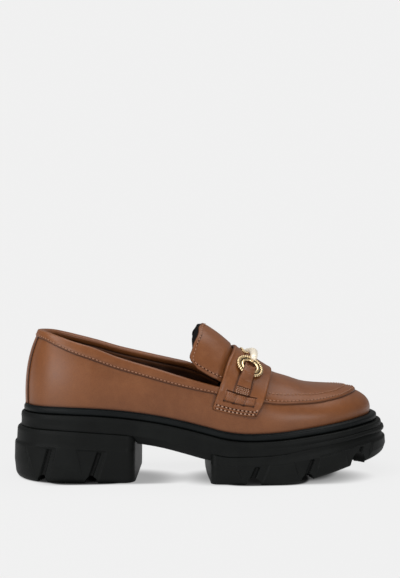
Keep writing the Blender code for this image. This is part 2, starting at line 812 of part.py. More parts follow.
def make_apron(leather, parent):
    """The raised moccasin apron on the vamp, from under the saddle to the toe."""
    side = np.linspace(t_at(APRON_ROOT), HALF_TURN, 16)
    t = np.concatenate([side, 2 * HALF_TURN - side[-2::-1]])
    share = share_at(raw_plan(t)[0][:, 0])
    seam = np.where(t > HALF_TURN, spline(APRON_SEAM, 2, share), spline(APRON_SEAM, 1, share))
    rows = [last(t, seam + (1 - seam) * step, APRON_LIFT) for step in np.linspace(0, 1, 8)]
    return sheet("apron", rows, LEATHER, leather, parent)


def across_last(share, angle, lift):
    """A row of points from the outer side over the spine to the inner side."""
    outer = last(t_at(share), angle, lift)
    inner = last(t_at(share, True), angle, lift)
    return np.concatenate([outer, inner[-2::-1]])


def make_saddle(leather, parent):
    """The saddle strap over the vamp, sewn down at both ends."""
    down = np.linspace(1, 0, 15)
    angle = spline(SADDLE, 3, down)
    seam = float(spline(APRON_SEAM, 1, 0.64))
    lift = GAP + (OVERLAY_LIFT - GAP) * ease(seam - 0.10, seam - 0.02, angle)
    rows = []
    for step in np.linspace(0, 1, 6):
        rear, front = spline(SADDLE, 1, down), spline(SADDLE, 2, down)
        rows.append(across_last(rear + (front - rear) * step, angle, lift))
    return sheet("saddle", rows, SADDLE_THICKNESS, leather, parent)


def saddle_rear(angle):
    """The saddle's rear edge, as a share along the upper, at an angle up the section."""
    rows = np.array(SADDLE)[::-1]
    return np.interp(angle, rows[:, 3], rows[:, 1])


def make_tongue(leather, parent):
    """The tongue flap, rooted under the saddle and free over the instep."""
    across = np.linspace(1, 0, 10)
    root = APRON_ROOT - 2 * GAP / UPPER_LENGTH
    rows, pads = [], []
    for step in np.linspace(0, 1, 10):
        halves, pad = [], []
        for column, inner in ((1, False), (2, True)):
            rear = spline(TONGUE_EDGE, column, across)
            share = rear + (root - rear) * step
            t = t_at(share, inner)
            hem = angle_for_height(t, spline(TONGUE_HEM, column, share) * COLLAR_HEIGHT)
            angle = hem + (1 - hem) * (1 - across)
            halves.append(last(t, angle, GAP + FACET_ROOM))
            pad.append(1 - ease(saddle_rear(angle) - 0.034, saddle_rear(angle) - 0.014, share))
        rows.append(np.concatenate([halves[0], halves[1][-2::-1]]))
        pads.append(np.concatenate([pad[0], pad[1][-2::-1]]))
    obj = sheet("tongue", rows, TONGUE_THICKNESS, leather, parent)
    group = obj.vertex_groups.new(name="pad")
    thin = LEATHER / TONGUE_THICKNESS
    for index, pad in enumerate(np.concatenate(pads)):
        group.add([index], float(thin + (1 - thin) * pad), "REPLACE")
    obj.modifiers["wall"].vertex_group = "pad"
    return obj


def make_back_strap(leather, parent):
    """The narrow strip down the middle of the heel."""
    t = np.linspace(0, 3, 61)
    edge = np.interp(BACK_STRAP_WIDTH / 2, np.linalg.norm(plan(t) - plan(0.0), axis=1), t)
    t = np.linspace(-edge, edge, 7)
    height = collar_height(t, False) - spline(TOPLINE, 3, 0.0) * BAND_DEPTH - 2 * GAP
    top = angle_for_height(t, height)
    rows = [last(t, 0.02 + (top - 0.02) * step, GAP) for step in np.linspace(0, 1, 8)]
    return sheet("back_strap", rows, BACK_STRAP_THICKNESS, leather, parent)


def make_binding(leather, parent):
    """The collar band: sewn outside, folded over the top edge and down inside."""
    spread = np.linspace(0, 1, 47)
    outside = BINDING_ROOM + BINDING_THICKNESS
    inside = -(WALL + BINDING_ROOM)
    profile = (
        # share of the band's depth below its foot line, height above that, lift
        (1.0, 0.0, BINDING_ROOM),
        (1.0, 0.0, outside),
        (0.5, 0.0, outside),
        (0.0, 0.0, outside),
        (0.0, 0.9 * MM, outside - 0.7 * MM),
        (0.0, BINDING_ROOM + BINDING_THICKNESS, -WALL / 2),
        (0.0, 0.9 * MM, inside - BINDING_THICKNESS + 0.7 * MM),
        (0.0, 0.0, inside - BINDING_THICKNESS),
        (0.0, -BINDING_INSIDE, inside - BINDING_THICKNESS),
        (0.0, -BINDING_INSIDE, inside),
        (0.0, BINDING_ROOM, inside),
        (0.0, BINDING_ROOM, BINDING_ROOM),
        (0.5, 0.0, BINDING_ROOM),
    )
    columns = []
    for deep, up, lift in profile:
        ends = []
        for inner in (False, True):
            end = t_at(COLLAR_END, inner)
            edge = collar_height(end, inner) - BINDING_ROOM - BINDING_THICKNESS
            low = edge - deep * spline(TOPLINE, 3, COLLAR_END) * BAND_DEPTH + up
            clear = BINDING_END_GAP / UPPER_LENGTH
            ends.append(t_at(saddle_rear(angle_for_height(end, low)) - clear, inner))
        t = (ends[0] + (ends[1] - 2 * HALF_TURN - ends[0]) * spread) % (2 * HALF_TURN)
        share = share_at(raw_plan(t)[0][:, 0])
        height = np.where(t > HALF_TURN, collar_height(t, True), collar_height(t, False))
        depth = spline(TOPLINE, 3, share) * BAND_DEPTH - BINDING_ROOM - BINDING_THICKNESS
        edge = height - BINDING_ROOM - BINDING_THICKNESS - deep * depth + up
        columns.append(last(t, angle_for_height(t, edge), lift + 0 * t))
    bm = bmesh.new()
    made = skin(bm, [list(section) for section in np.stack(columns, 1)], close=True)
    for section in (made[0], made[-1]):
        for face in BINDING_END_FACES:
            bm.faces.new([section[corner] for corner in face])
    return new_object("collar_binding", mesh_from("collar_binding", bm), leather, parent)


def on_saddle(down, share, inner, lift):
    """Points above the saddle's outer face. share: across the strap, 0 at its rear edge, 1 at the front."""
    rear, front = spline(SADDLE, 1, down), spline(SADDLE, 2, down)
    t = t_at(rear + (front - rear) * share, inner)
    return last(t, spline(SADDLE, 3, down), OVERLAY_LIFT + SADDLE_THICKNESS + lift)


def saddle_frame(down, share, inner):
    """A point on the saddle's outer face, and its ways forward, down and out."""
    step = 0.02
    point = on_saddle(down, share, inner, 0.0)
    ahead = on_saddle(down, share + step, inner, 0.0) - on_saddle(down, share - step, inner, 0.0)
    below = on_saddle(down + step, share, inner, 0.0) - on_saddle(down - step, share, inner, 0.0)
    below /= np.linalg.norm(below)
    ahead -= below * np.dot(ahead, below)
    ahead /= np.linalg.norm(ahead)
    out = np.cross(ahead, below)
    return point, ahead, below, out if out[2] > 0 else -out


def make_ring(inner, gold, parent):
    """One of the snaffle's two rings, lying on the saddle beside the spine."""
    name = "bit_ring_inner" if inner else "bit_ring_outer"
    point, ahead, below, out = saddle_frame(RING_DOWN, RING_ACROSS, inner)
    centre = point + out * (RING_WIRE + RING_STANDOFF)
    bm = bmesh.new()
    turns = np.linspace(0, 2 * math.pi, 20, endpoint=False)
    sides = np.linspace(0, 2 * math.pi, 8, endpoint=False)
    rows = []
    for turn in turns:
        way = ahead * math.cos(turn) + below * math.sin(turn)
        rows.append([
            centre + way * (RING_RADIUS + RING_BAND * math.cos(side)) + out * RING_WIRE * math.sin(side)
            for side in sides
        ])
    skin(bm, rows + rows[:1], close=True)
    return new_object(name, mesh_from(name, bm), gold, parent)


def make_bar(gold, parent):
    """The snaffle's mouthpiece, arched over the saddle between the two rings."""
    down = np.linspace(0, RING_DOWN, 60)
    middle = on_saddle(RING_DOWN, RING_ACROSS, False, 0.0)
    away = np.linalg.norm(on_saddle(down, RING_ACROSS, False, 0.0) - middle, axis=-1)
    end = np.interp(-(RING_RADIUS + RING_BAND + 2 * GAP), -away, down)
    down = np.linspace(end, 0, 7)
    lift = GAP + BAR_RADIUS
    outer = on_saddle(down, RING_ACROSS, False, lift)
    inner = on_saddle(down, RING_ACROSS, True, lift)
    path = np.concatenate([outer, inner[-2::-1]])
    curve = bpy.data.curves.new("bit_bar", "CURVE")
    curve.dimensions = "3D"
    curve.bevel_depth = BAR_RADIUS
    curve.bevel_resolution = 2
    curve.use_fill_caps = True
    line = curve.splines.new("POLY")
    line.points.add(len(path) - 1)
    for place, point in zip(line.points, path):
        place.co = (*point, 1)
    obj = new_object("bit_bar", curve, gold, parent)
    return obj


def block_between(name, low, high, material_used, parent):
    """A closed solid between two grids of points of the same size."""
    bm = bmesh.new()
    floor, roof = skin(bm, low), skin(bm, high)
    rim = [(0, i) for i in range(len(low[0]))]
    rim += [(i, len(low[0]) - 1) for i in range(1, len(low))]
    rim += [(len(low) - 1, i) for i in range(len(low[0]) - 2, -1, -1)]
    rim += [(i, 0) for i in range(len(low) - 2, 0, -1)]
    for (a, b), (c, d) in zip(rim, rim[1:] + rim[:1]):
        bm.faces.new((floor[a][b], floor[c][d], roof[c][d], roof[a][b]))
    return new_object(name, mesh_from(name, bm), material_used, parent)


def make_tab(inner, leather, parent):
    """The leather tab that holds a ring down: sewn below it, over its wire, and into the ring."""
    name = "ring_tab_inner" if inner else "ring_tab_outer"
    down = np.linspace(TAB_FOOT, TAB_TOP, 11)
    point, ahead, below, out = saddle_frame(RING_DOWN, RING_ACROSS, inner)
    strap = np.linalg.norm(on_saddle(RING_DOWN, 1.0, inner, 0.0) - on_saddle(RING_DOWN, 0.0, inner, 0.0))
    half = np.interp(down, (TAB_TOP, TAB_FOOT), (TAB_TOP_WIDTH, TAB_WIDTH)) / 2 / strap
    low, high = [], []
    for side in (-1, 0, 1):
        share = RING_ACROSS + side * half
        away = on_saddle(down, share, inner, 0.0) - point
        across = np.hypot(away @ ahead, away @ below)
        wire_top = 2 * RING_WIRE + RING_STANDOFF + GAP + FACET_ROOM - away @ out
        near = 1 - ease(RING_BAND + GAP, RING_BAND + TAB_RAMP, np.abs(across - RING_RADIUS))
        lift = GAP + (wire_top - GAP + 0.2 * MM) * near
        low.append(on_saddle(down, share, inner, lift))
        high.append(on_saddle(down, share, inner, lift + TAB_THICKNESS))
    return block_between(name, low, high, leather, parent)


def make_lace(inner, leather, parent):
    """The whip-laced patch near the saddle's end: loops of lace side by side."""
    name = "lace_inner" if inner else "lace_outer"
    strap = np.linalg.norm(on_saddle(LACE_DOWN, 1.0, inner, 0.0) - on_saddle(LACE_DOWN, 0.0, inner, 0.0))
    above, below = (on_saddle(LACE_DOWN + step, 0.5, inner, 0.0) for step in (-0.05, 0.05))
    drop = np.linalg.norm(below - above)
    half = LACE_HEIGHT / 2 * 0.1 / drop
    along = np.linspace(-0.5, 0.5, 3 * LACE_LOOPS + 1)
    hump = np.sin(math.pi * LACE_LOOPS * (along + 0.5)) ** 2
    share = 0.5 + along * LACE_LENGTH / strap
    low, high = [], []
    for side, rise in ((-1, 0.45), (-0.6, 1.0), (0.6, 1.0), (1, 0.45)):
        down = LACE_DOWN + side * half + 0 * along
        low.append(on_saddle(down, share, inner, GAP))
        thick = LACE_BED + (LACE_THICKNESS - LACE_BED) * hump * rise
        high.append(on_saddle(down, share, inner, GAP + thick))
    return block_between(name, low, high, leather, parent)


def main():
    for obj in list(bpy.data.objects):
        bpy.data.objects.remove(obj)
    for name in ("loafer", "cutters"):
        bpy.context.scene.collection.children.link(bpy.data.collections.new(name))
    bpy.data.collections["cutters"].hide_render = True
    parent = bpy.data.objects.new("shoe", None)
    bpy.data.collections["loafer"].objects.link(parent)
    rubber = material("black_rubber", BLACK_RUBBER, 0.55)
    leather = material("brown_leather", BROWN_LEATHER, 0.42)
    lining = material("black_lining", BLACK_LINING, 0.8)
    gold = material("light_gold", GOLD, 0.25, 1.0)
    make_block("heel", 0.0, HEEL_BREAST, 22, rubber, parent)
    make_block("outsole", FORE_REAR, 1.0, 29, rubber, parent)
    make_midsole(rubber, parent)
    make_welt(rubber, parent)
    make_insole(lining, parent)
    make_upper(leather, parent)
    make_apron(leather, parent)
    make_saddle(leather, parent)
    make_tongue(leather, parent)
    make_back_strap(leather, parent)
    make_binding(leather, parent)
    make_bar(gold, parent)
    for inner in (False, True):
        make_ring(inner, gold, parent)
        make_tab(inner, leather, parent)
        make_lace(inner, leather, parent)


main()
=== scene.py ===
import math

import bmesh
import bpy
import numpy as np
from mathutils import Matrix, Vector


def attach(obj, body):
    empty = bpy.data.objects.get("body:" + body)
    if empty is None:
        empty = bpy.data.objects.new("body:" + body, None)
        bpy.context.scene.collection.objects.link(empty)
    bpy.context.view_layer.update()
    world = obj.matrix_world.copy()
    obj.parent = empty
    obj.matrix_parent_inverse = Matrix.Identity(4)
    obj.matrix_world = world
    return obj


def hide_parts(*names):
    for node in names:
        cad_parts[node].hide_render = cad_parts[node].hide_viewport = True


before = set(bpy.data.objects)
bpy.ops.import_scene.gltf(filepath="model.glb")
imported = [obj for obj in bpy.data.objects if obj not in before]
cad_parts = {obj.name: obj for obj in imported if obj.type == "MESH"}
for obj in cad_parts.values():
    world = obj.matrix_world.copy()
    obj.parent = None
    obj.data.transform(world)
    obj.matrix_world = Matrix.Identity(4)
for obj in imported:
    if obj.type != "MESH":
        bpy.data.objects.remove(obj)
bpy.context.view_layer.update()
mm = 0.001

# the last: the same named sizes and tables as the part's own source
lastShape = {
    "upperLength": 263.6 * mm, "ballWidth": 87 * mm, "heelOverhang": 8.2 * mm,
    "sideOverhang": 6.8 * mm, "toeOverhang": 10.9 * mm, "heelLift": 53.6 * mm,
    "platformLift": 35.0 * mm, "toeRise": 10.0 * mm, "collarHeight": 56.5 * mm,
    "treadToeRise": 16.5 * mm, "wallBulge": 1.5 * mm, "bandDepth": 9.4 * mm,
    "randHeight": 5.05 * mm, "bandHeight": 11.6 * mm, "collarEnd": 0.560, "throatEnd": 0.625,
    # share of the upper's length, reach to the outer and inner side as shares of the ball width
    "outline": [
        (0.000, 0.000, 0.000), (0.008, 0.108, 0.108), (0.030, 0.209, 0.209), (0.071, 0.292, 0.290),
        (0.144, 0.346, 0.340), (0.237, 0.364, 0.346), (0.344, 0.384, 0.336), (0.452, 0.424, 0.340),
        (0.560, 0.478, 0.388), (0.660, 0.514, 0.450), (0.744, 0.512, 0.486), (0.825, 0.470, 0.484),
        (0.894, 0.388, 0.424), (0.948, 0.276, 0.322), (0.983, 0.150, 0.188), (1.000, -0.022, 0.022),
    ],
    # share of the sole's length, heel part, toe part, band height
    "feather": [
        (0.000, 1.000, 0.00, 0.93), (0.060, 1.000, 0.00, 0.93), (0.137, 0.985, 0.00, 0.96),
        (0.229, 0.925, 0.00, 1.01), (0.318, 0.790, 0.00, 0.98), (0.384, 0.640, 0.00, 1.00),
        (0.442, 0.460, 0.00, 1.06), (0.497, 0.260, 0.00, 1.09), (0.550, 0.070, 0.00, 1.03),
        (0.600, 0.000, 0.00, 0.90), (0.646, 0.000, 0.03, 0.87), (0.700, 0.000, 0.14, 0.82),
        (0.750, 0.000, 0.31, 0.73), (0.800, 0.000, 0.48, 0.68), (0.860, 0.000, 0.68, 0.62),
        (0.920, 0.000, 0.87, 0.58), (1.000, 0.000, 1.00, 0.66),
    ],
    "tread": [
        (0.000, 0.00), (0.640, 0.00), (0.690, 0.00), (0.730, 0.08),
        (0.812, 0.38), (0.872, 0.62), (0.933, 0.77), (1.000, 1.00),
    ],
    # share of the upper's length, spine height, spine side, roundness exponent, bulge
    "spine": [
        (0.000, 1.340, 0.000, 2.35, 0.40), (0.150, 1.330, 0.000, 2.40, 0.70),
        (0.300, 1.330, 0.000, 2.40, 1.00), (0.400, 1.310, 0.000, 2.35, 1.00),
        (0.504, 1.252, 0.004, 2.25, 1.00), (0.549, 1.160, 0.006, 2.20, 1.00),
        (0.593, 1.012, 0.008, 2.20, 1.00), (0.644, 0.858, 0.010, 2.20, 1.00),
        (0.703, 0.684, 0.012, 2.25, 1.00), (0.755, 0.576, 0.014, 2.30, 1.00),
        (0.800, 0.478, 0.016, 2.35, 0.90), (0.859, 0.412, 0.018, 2.45, 0.80),
        (0.930, 0.380, 0.020, 2.60, 0.60), (1.000, 0.360, 0.022, 2.70, 0.50),
    ],
    "spineHeel": (0.270, 0.158), "spineToe": (0.710, 0.868),
    # share of the upper's length, collar height outside and inside, band depth
    "topline": [
        (0.000, 0.985, 0.985, 0.62), (0.040, 0.958, 0.968, 0.64), (0.083, 0.912, 0.934, 0.78),
        (0.138, 0.846, 0.882, 0.92), (0.191, 0.789, 0.830, 1.00), (0.261, 0.694, 0.760, 0.95),
        (0.315, 0.646, 0.728, 0.91), (0.368, 0.612, 0.706, 0.91), (0.421, 0.582, 0.698, 0.84),
        (0.474, 0.566, 0.694, 0.74), (0.515, 0.562, 0.664, 0.66), (0.560, 0.562, 0.618, 0.61),
    ],
}
soleLength = lastShape["upperLength"] + lastShape["heelOverhang"] + lastShape["toeOverhang"]
halfTurn = len(lastShape["outline"]) - 1


def curveThrough(rows, column, at):
    # cubic through one column of a table, with slopes by central differences
    table = np.array(rows, float)
    x, y = table[:, 0], table[:, column]
    slope = np.gradient(y, x)
    at = np.clip(np.asarray(at, float), x[0], x[-1])
    i = np.clip(np.searchsorted(x, at) - 1, 0, len(x) - 2)
    width = x[i + 1] - x[i]
    u = (at - x[i]) / width
    rise = y[i] * (1 + 2 * u) * (1 - u) ** 2 + y[i + 1] * u ** 2 * (3 - 2 * u)
    return rise + slope[i] * width * u * (1 - u) ** 2 + slope[i + 1] * width * u ** 2 * (u - 1)


def ease(low, high, at):
    # 0 below low, 1 above high, 3u^2 - 2u^3 between
    u = np.clip((np.asarray(at, float) - low) / (high - low), 0, 1)
    return u * u * (3 - 2 * u)


def unit(ways):
    return ways / np.linalg.norm(ways, axis=-1, keepdims=True)


def outlineKnots():
    # the outline's corner points once round, with the tangents of a closed smooth curve
    rows = np.array(lastShape["outline"])
    x = rows[:, 0] * lastShape["upperLength"] - soleLength / 2 + lastShape["heelOverhang"]
    outer = np.column_stack([x, -rows[:, 1] * lastShape["ballWidth"]])
    inner = np.column_stack([x, rows[:, 2] * lastShape["ballWidth"]])
    points = np.vstack([outer, inner[-2:0:-1]])
    count = len(points)
    matrix = 4 * np.eye(count) + np.roll(np.eye(count), 1, 0) + np.roll(np.eye(count), -1, 0)
    return points, np.linalg.solve(matrix, 3 * (np.roll(points, -1, 0) - np.roll(points, 1, 0)))


knots, tangents = outlineKnots()


def rawPlan(t):
    # point and outward normal of the outline at t: 0 heel, halfTurn toe, and back on the inner side
    t = np.asarray(t, float) % (2 * halfTurn)
    i = np.floor(t).astype(int)
    u = (t - i)[..., None]
    j = (i + 1) % len(knots)
    p, q, m, n = knots[i], knots[j], tangents[i], tangents[j]
    point = p * (1 + 2 * u) * (1 - u) ** 2 + m * u * (1 - u) ** 2
    point = point + q * u ** 2 * (3 - 2 * u) + n * u ** 2 * (u - 1)
    along = (6 * u ** 2 - 6 * u) * (p - q) + m * (1 - 4 * u + 3 * u ** 2) + n * (3 * u ** 2 - 2 * u)
    along = unit(along)
    return point, np.stack([along[..., 1], -along[..., 0]], -1)


def shareAt(x):
    # share of the upper's length at x
    return (x + soleLength / 2 - lastShape["heelOverhang"]) / lastShape["upperLength"]


def soleShare(x):
    # share of the sole's length at x
    return x / soleLength + 0.5


def soleX(share):
    # x at a share of the sole's length
    return (share - 0.5) * soleLength


def shareOf(t):
    # share of the upper's length at an outline place
    return shareAt(rawPlan(t)[0][..., 0])


def toeShare(t):
    # 0 behind the ball, rising to 1 at the toe
    return ease(0.60, 1.0, shareOf(t))


def weltReach(t):
    # how far the rand stands out from the outline
    return (4.2 + 1.3 * toeShare(t)) * mm


def flare(t):
    # how far the tread blocks stand out past the rand
    heel = 1 - ease(0.0, 0.14, shareOf(t))
    side = lastShape["sideOverhang"] - 4.2 * mm
    toe = lastShape["toeOverhang"] - 5.5 * mm - side
    return side + (lastShape["heelOverhang"] - 4.2 * mm - side) * heel + toe * toeShare(t)


def middleShift():
    # puts the middle of the sole's whole width on y = 0
    t = np.linspace(0, 2 * halfTurn, 721)
    point, normal = rawPlan(t)
    y = point[:, 1] + normal[:, 1] * (weltReach(t) + flare(t))
    return -(y.min() + y.max()) / 2


sideShift = middleShift()


def plan(t, out=0.0):
    # the outline at t, moved outwards along its normal
    point, normal = rawPlan(t)
    point = point + normal * np.asarray(out)[..., None]
    point[..., 1] += sideShift
    return point


def tAt(share, inner=False):
    # the outline place at a share of the upper's length
    t = np.linspace(0, halfTurn, 601)
    found = np.interp(share, shareAt(rawPlan(t)[0][:, 0]), t)
    return 2 * halfTurn - found if inner else found


def tAtSole(share):
    # the outline place at a share of the sole's length
    return tAt(np.clip(shareAt(soleX(np.asarray(share))), 0, 1))


def featherZ(x):
    # height of the feather edge: platform, plus the heel's part of the lift, plus the toe's rise
    drop = lastShape["heelLift"] - lastShape["platformLift"]
    heel, toe = (curveThrough(lastShape["feather"], column, soleShare(x)) for column in (1, 2))
    return lastShape["platformLift"] + drop * heel + lastShape["toeRise"] * toe


def midsoleTopZ(x):
    # the midsole's top, under the rand
    return featherZ(x) - lastShape["randHeight"]


def midsoleFootZ(x):
    # the midsole's foot: its height is a table's share of the full band
    share = curveThrough(lastShape["feather"], 3, soleShare(x))
    return midsoleTopZ(x) - lastShape["bandHeight"] * share


def treadZ(x):
    # height of the tread over the floor: flat, then rising at the toe
    rise = curveThrough(lastShape["tread"], 1, soleShare(x))
    return lastShape["treadToeRise"] * np.maximum(rise, 0)


def spineShare(share):
    # where on the spine a rib of the last ends: they fan out at heel and toe
    heelStart, heelEnd = lastShape["spineHeel"]
    toeStart, toeEnd = lastShape["spineToe"]
    heel = np.clip((heelStart - share) / heelStart, 0, 1)
    toe = np.clip((share - toeStart) / (1 - toeStart), 0, 1)
    return share + heelEnd * heel ** 2 - (1 - toeEnd) * toe ** 2


def spineTop(at):
    # x and height of the last's spine
    x = at * lastShape["upperLength"] - soleLength / 2 + lastShape["heelOverhang"]
    return x, featherZ(x) + curveThrough(lastShape["spine"], 1, at) * lastShape["collarHeight"]


def last(t, angle, lift=0.0):
    # the last: from the outline point to the spine point along a rounded quarter, plus lift along
    # the normal
    t, angle = np.broadcast_arrays(np.asarray(t, float), np.asarray(angle, float))
    if np.any(lift):
        step = 1e-3
        near = np.clip(angle, 0.01, 0.96)
        along = last(t + step, near) - last(t - step, near)
        normal = np.cross(along, last(t, near + step) - last(t, near - step))
        normal[..., 1] *= angle < 0.999
        return last(t, angle) + unit(normal) * np.asarray(lift)[..., None]
    base = plan(t)
    share = shareAt(base[..., 0])
    at = spineShare(share)
    topX, topZ = spineTop(at)
    topY = curveThrough(lastShape["spine"], 2, at) * lastShape["ballWidth"] + sideShift
    baseZ = featherZ(base[..., 0])
    power = 2 / curveThrough(lastShape["spine"], 3, share)
    quarter = angle * math.pi / 2
    inwards, upwards = 1 - np.cos(quarter) ** power, np.sin(quarter) ** power
    bulge = lastShape["wallBulge"] * curveThrough(lastShape["spine"], 4, share)
    base = plan(t, bulge * np.sin(math.pi * np.clip(upwards / 0.75, 0, 1)))
    x = base[..., 0] + (topX - base[..., 0]) * inwards
    y = base[..., 1] + (topY - base[..., 1]) * inwards
    return np.stack([x, y, baseZ + (topZ - baseZ) * upwards], -1)


def ringPoints(t, out, z):
    # a ring round the outline, moved outwards, z(x) giving its height
    flat = plan(t, out)
    return np.column_stack([flat, z(flat[:, 0]) + 0 * t])


def angleForHeight(t, height):
    # the angle up the last's section at a height above the feather edge
    x = rawPlan(t)[0][..., 0]
    share = shareAt(x)
    reach = spineTop(spineShare(share))[1] - featherZ(x)
    part = np.clip(height / reach, 0, 1)
    return np.arcsin(part ** (curveThrough(lastShape["spine"], 3, share) / 2)) * 2 / math.pi


def onInner(t):
    # true on the inner side of the outline
    return np.asarray(t) % (2 * halfTurn) > halfTurn


def otherSide(t):
    # the same places on the other side of the middle line
    return 2 * halfTurn - t


def collarHeightAt(t):
    # height of the collar's edge over the feather edge
    outer, inner = (curveThrough(lastShape["topline"], column, shareOf(t)) for column in (1, 2))
    return np.where(onInner(t), inner, outer) * lastShape["collarHeight"]


def bandDepthAt(t):
    # how far the collar band reaches down the outside
    return curveThrough(lastShape["topline"], 3, shareOf(t)) * lastShape["bandDepth"]


def lengthAlong(path):
    # distance from a path's start to each of its points
    return np.concatenate([[0], np.cumsum(np.linalg.norm(np.diff(path, axis=0), axis=1))])


def evenTurns(count, low=0.0):
    # places on the outline at equal steps of its length, from low to the toe
    t = np.linspace(low, halfTurn, 2001)
    along = lengthAlong(plan(t))
    return np.interp(np.linspace(0, along[-1], count), along, t)


def evenRing(count):
    # such places once round the whole outline
    half = evenTurns(count)
    return np.concatenate([half, otherSide(half[-2:0:-1])])


print("the last is ready")


# meshes
def gridFaces(rows, columns, wrapRows=False, wrapColumns=False, first=0):
    # quads between neighbouring points of a grid, joined round where it closes
    i = np.arange(rows if wrapRows else rows - 1)[:, None]
    j = np.arange(columns if wrapColumns else columns - 1)[None, :]
    nextI, nextJ = (i + 1) % rows, (j + 1) % columns
    corners = (i * columns + j, i * columns + nextJ, nextI * columns + nextJ, nextI * columns + j)
    return np.stack(np.broadcast_arrays(*corners), -1).reshape(-1, 4) + first


def rimFaces(rows, columns, second, sides):
    # a wall between the rims of two grids of one size, the other grid's points starting at second
    def wall(a, b):
        return np.column_stack([a, b, b + second, a + second])
    index = np.arange(rows * columns).reshape(rows, columns)
    made = {
        "first": wall(index[0, 1:], index[0, :-1]), "last": wall(index[-1, :-1], index[-1, 1:]),
        "left": wall(index[:-1, 0], index[1:, 0]), "right": wall(index[1:, -1], index[:-1, -1]),
    }
    return np.vstack([made[side] for side in sides])


def addPiece(name, points, faces, material, slot=None, replaces=(), weld=0.0, tone=None,
             sharp=None):
    # one mesh from points and arrays of faces: doubles merged, faces turned outwards
    points = np.asarray(points, float).reshape(-1, 3)
    faces = [faces] if isinstance(faces, np.ndarray) else list(faces)
    mesh = bpy.data.meshes.new(name)
    mesh.vertices.add(len(points))
    mesh.vertices.foreach_set("co", points.astype(np.float32).ravel())
    loops = np.concatenate([block.ravel() for block in faces])
    sizes = np.concatenate([np.full(len(block), block.shape[1]) for block in faces])
    mesh.loops.add(len(loops))
    mesh.loops.foreach_set("vertex_index", loops.astype(np.int32))
    mesh.polygons.add(len(sizes))
    starts = np.concatenate([[0], np.cumsum(sizes)[:-1]])
    mesh.polygons.foreach_set("loop_start", starts.astype(np.int32))
    mesh.update(calc_edges=True)
    if tone is not None:
        layer = mesh.attributes.new("tone", "FLOAT", "POINT")
        layer.data.foreach_set("value", np.broadcast_to(tone, len(points)).astype(np.float32))
    if weld:
        work = bmesh.new()
        work.from_mesh(mesh)
        bmesh.ops.remove_doubles(work, verts=work.verts, dist=weld)
        bmesh.ops.dissolve_degenerate(work, edges=work.edges, dist=weld / 10)
        work.to_mesh(mesh)
        work.free()
    mesh.validate()
    count = len(mesh.polygons)
    normals, centres, areas = np.empty(count * 3), np.empty(count * 3), np.empty(count)
    mesh.polygons.foreach_get("normal", normals)
    mesh.polygons.foreach_get("center", centres)
    mesh.polygons.foreach_get("area", areas)
    away = centres.reshape(-1, 3) - points.mean(0)
    if (areas * (normals.reshape(-1, 3) * away).sum(1)).sum() < 0:
        mesh.flip_normals()
    mesh.shade_smooth()
    if sharp:
        mesh.set_sharp_from_angle(angle=math.radians(sharp))
    piece = bpy.data.objects.new(name, mesh)
    mesh.materials.append(material)
    bpy.context.scene.collection.objects.link(piece)
    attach(piece, "root")
    if replaces:
        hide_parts(*replaces)
    return piece


def edgeSteps(count, size, roll):
    # places from 0 to 1 across a size, close together where the face rolls over at both ends
    turn = roll * (1 - np.sin(np.linspace(math.pi / 2, 0, 6)))
    middle = np.linspace(roll, size - roll, count)[1:-1]
    return np.concatenate([turn, middle, size - turn[::-1]]) / size


def rolled(distance, roll):
    # 0 at an edge, rising on a quarter circle to 1 at roll from it
    near = 1 - np.clip(distance / roll, 0, 1)
    return np.sqrt(1 - near ** 2)


def bell(distance, width):
    # 1 at no distance, falling to nothing over about two widths
    return np.exp(-(distance / width) ** 2)


def sampled(line, along, at):
    # a line's points at given lengths along it
    return np.stack([np.interp(at, along, line[:, axis]) for axis in range(3)], -1)


def seatedAt(path, normal, along, at):
    # places on a path, with their ways along, out and aside
    place, out = sampled(path, along, at), unit(sampled(normal, along, at))
    way = unit(np.gradient(place, axis=at.ndim - 1))
    return place, way, out, np.cross(way, out)


def copiedFaces(points, rings, sides):
    # the same tube's faces again for each copy in a row of points
    points = np.vstack(points)
    one = gridFaces(rings, sides, wrapColumns=True)
    starts = np.arange(len(points) // (rings * sides)) * rings * sides
    return points, (one[None] + starts[:, None, None]).reshape(-1, 4)


def capsuleRows(paths, length, pitch, radius, sink):
    # stitches: along each path a short capsule every pitch, its ends dipping under the leather
    stations, sides = np.linspace(-1, 1, 7), 6
    across = np.arange(sides) * 2 * math.pi / sides
    points = []
    for path, normal in paths:
        along = lengthAlong(path)
        count = max(1, int(along[-1] / pitch))
        centre = (np.arange(count) + 0.5) * along[-1] / count
        at = centre[:, None] + stations * length / 2
        place, _, out, side = seatedAt(path, normal, along, at)
        thick = radius * np.sqrt(np.clip(1 - np.abs(stations) ** 3.2, 0, 1))
        arch = (1 - stations ** 4) * radius * 0.75 - sink * stations ** 4
        place = place + out * arch[None, :, None]
        ring = side[:, :, None] * np.cos(across)[:, None]
        ring = ring + out[:, :, None] * np.sin(across)[:, None] * 0.8
        points.append((place[:, :, None] + ring * thick[None, :, None, None]).reshape(-1, 3))
    return copiedFaces(points, len(stations), sides)


def holeRows(paths, pitch, radius):
    # needle holes: a low dark dome between neighbouring stitches, painted shade of the holes'
    # hollows
    rings, sides = np.array([1.0, 0.6, 0.0]), 8
    turn = np.arange(sides) * 2 * math.pi / sides
    points = []
    for path, normal in paths:
        along = lengthAlong(path)
        count = max(1, int(along[-1] / pitch))
        at = np.arange(count + 1) * along[-1] / count
        place, way, out, side = seatedAt(path, normal, along, at)
        flat = side[:, None] * np.cos(turn)[:, None] + way[:, None] * np.sin(turn)[:, None]
        high = (place + out * 0.06 * mm)[:, None, None]
        dome = high + flat[:, None] * (radius * rings)[:, None, None]
        dome = dome - out[:, None, None] * (rings ** 2 * 0.1 * mm)[:, None, None]
        points.append(dome.reshape(-1, 3))
    return copiedFaces(points, len(rings), sides)


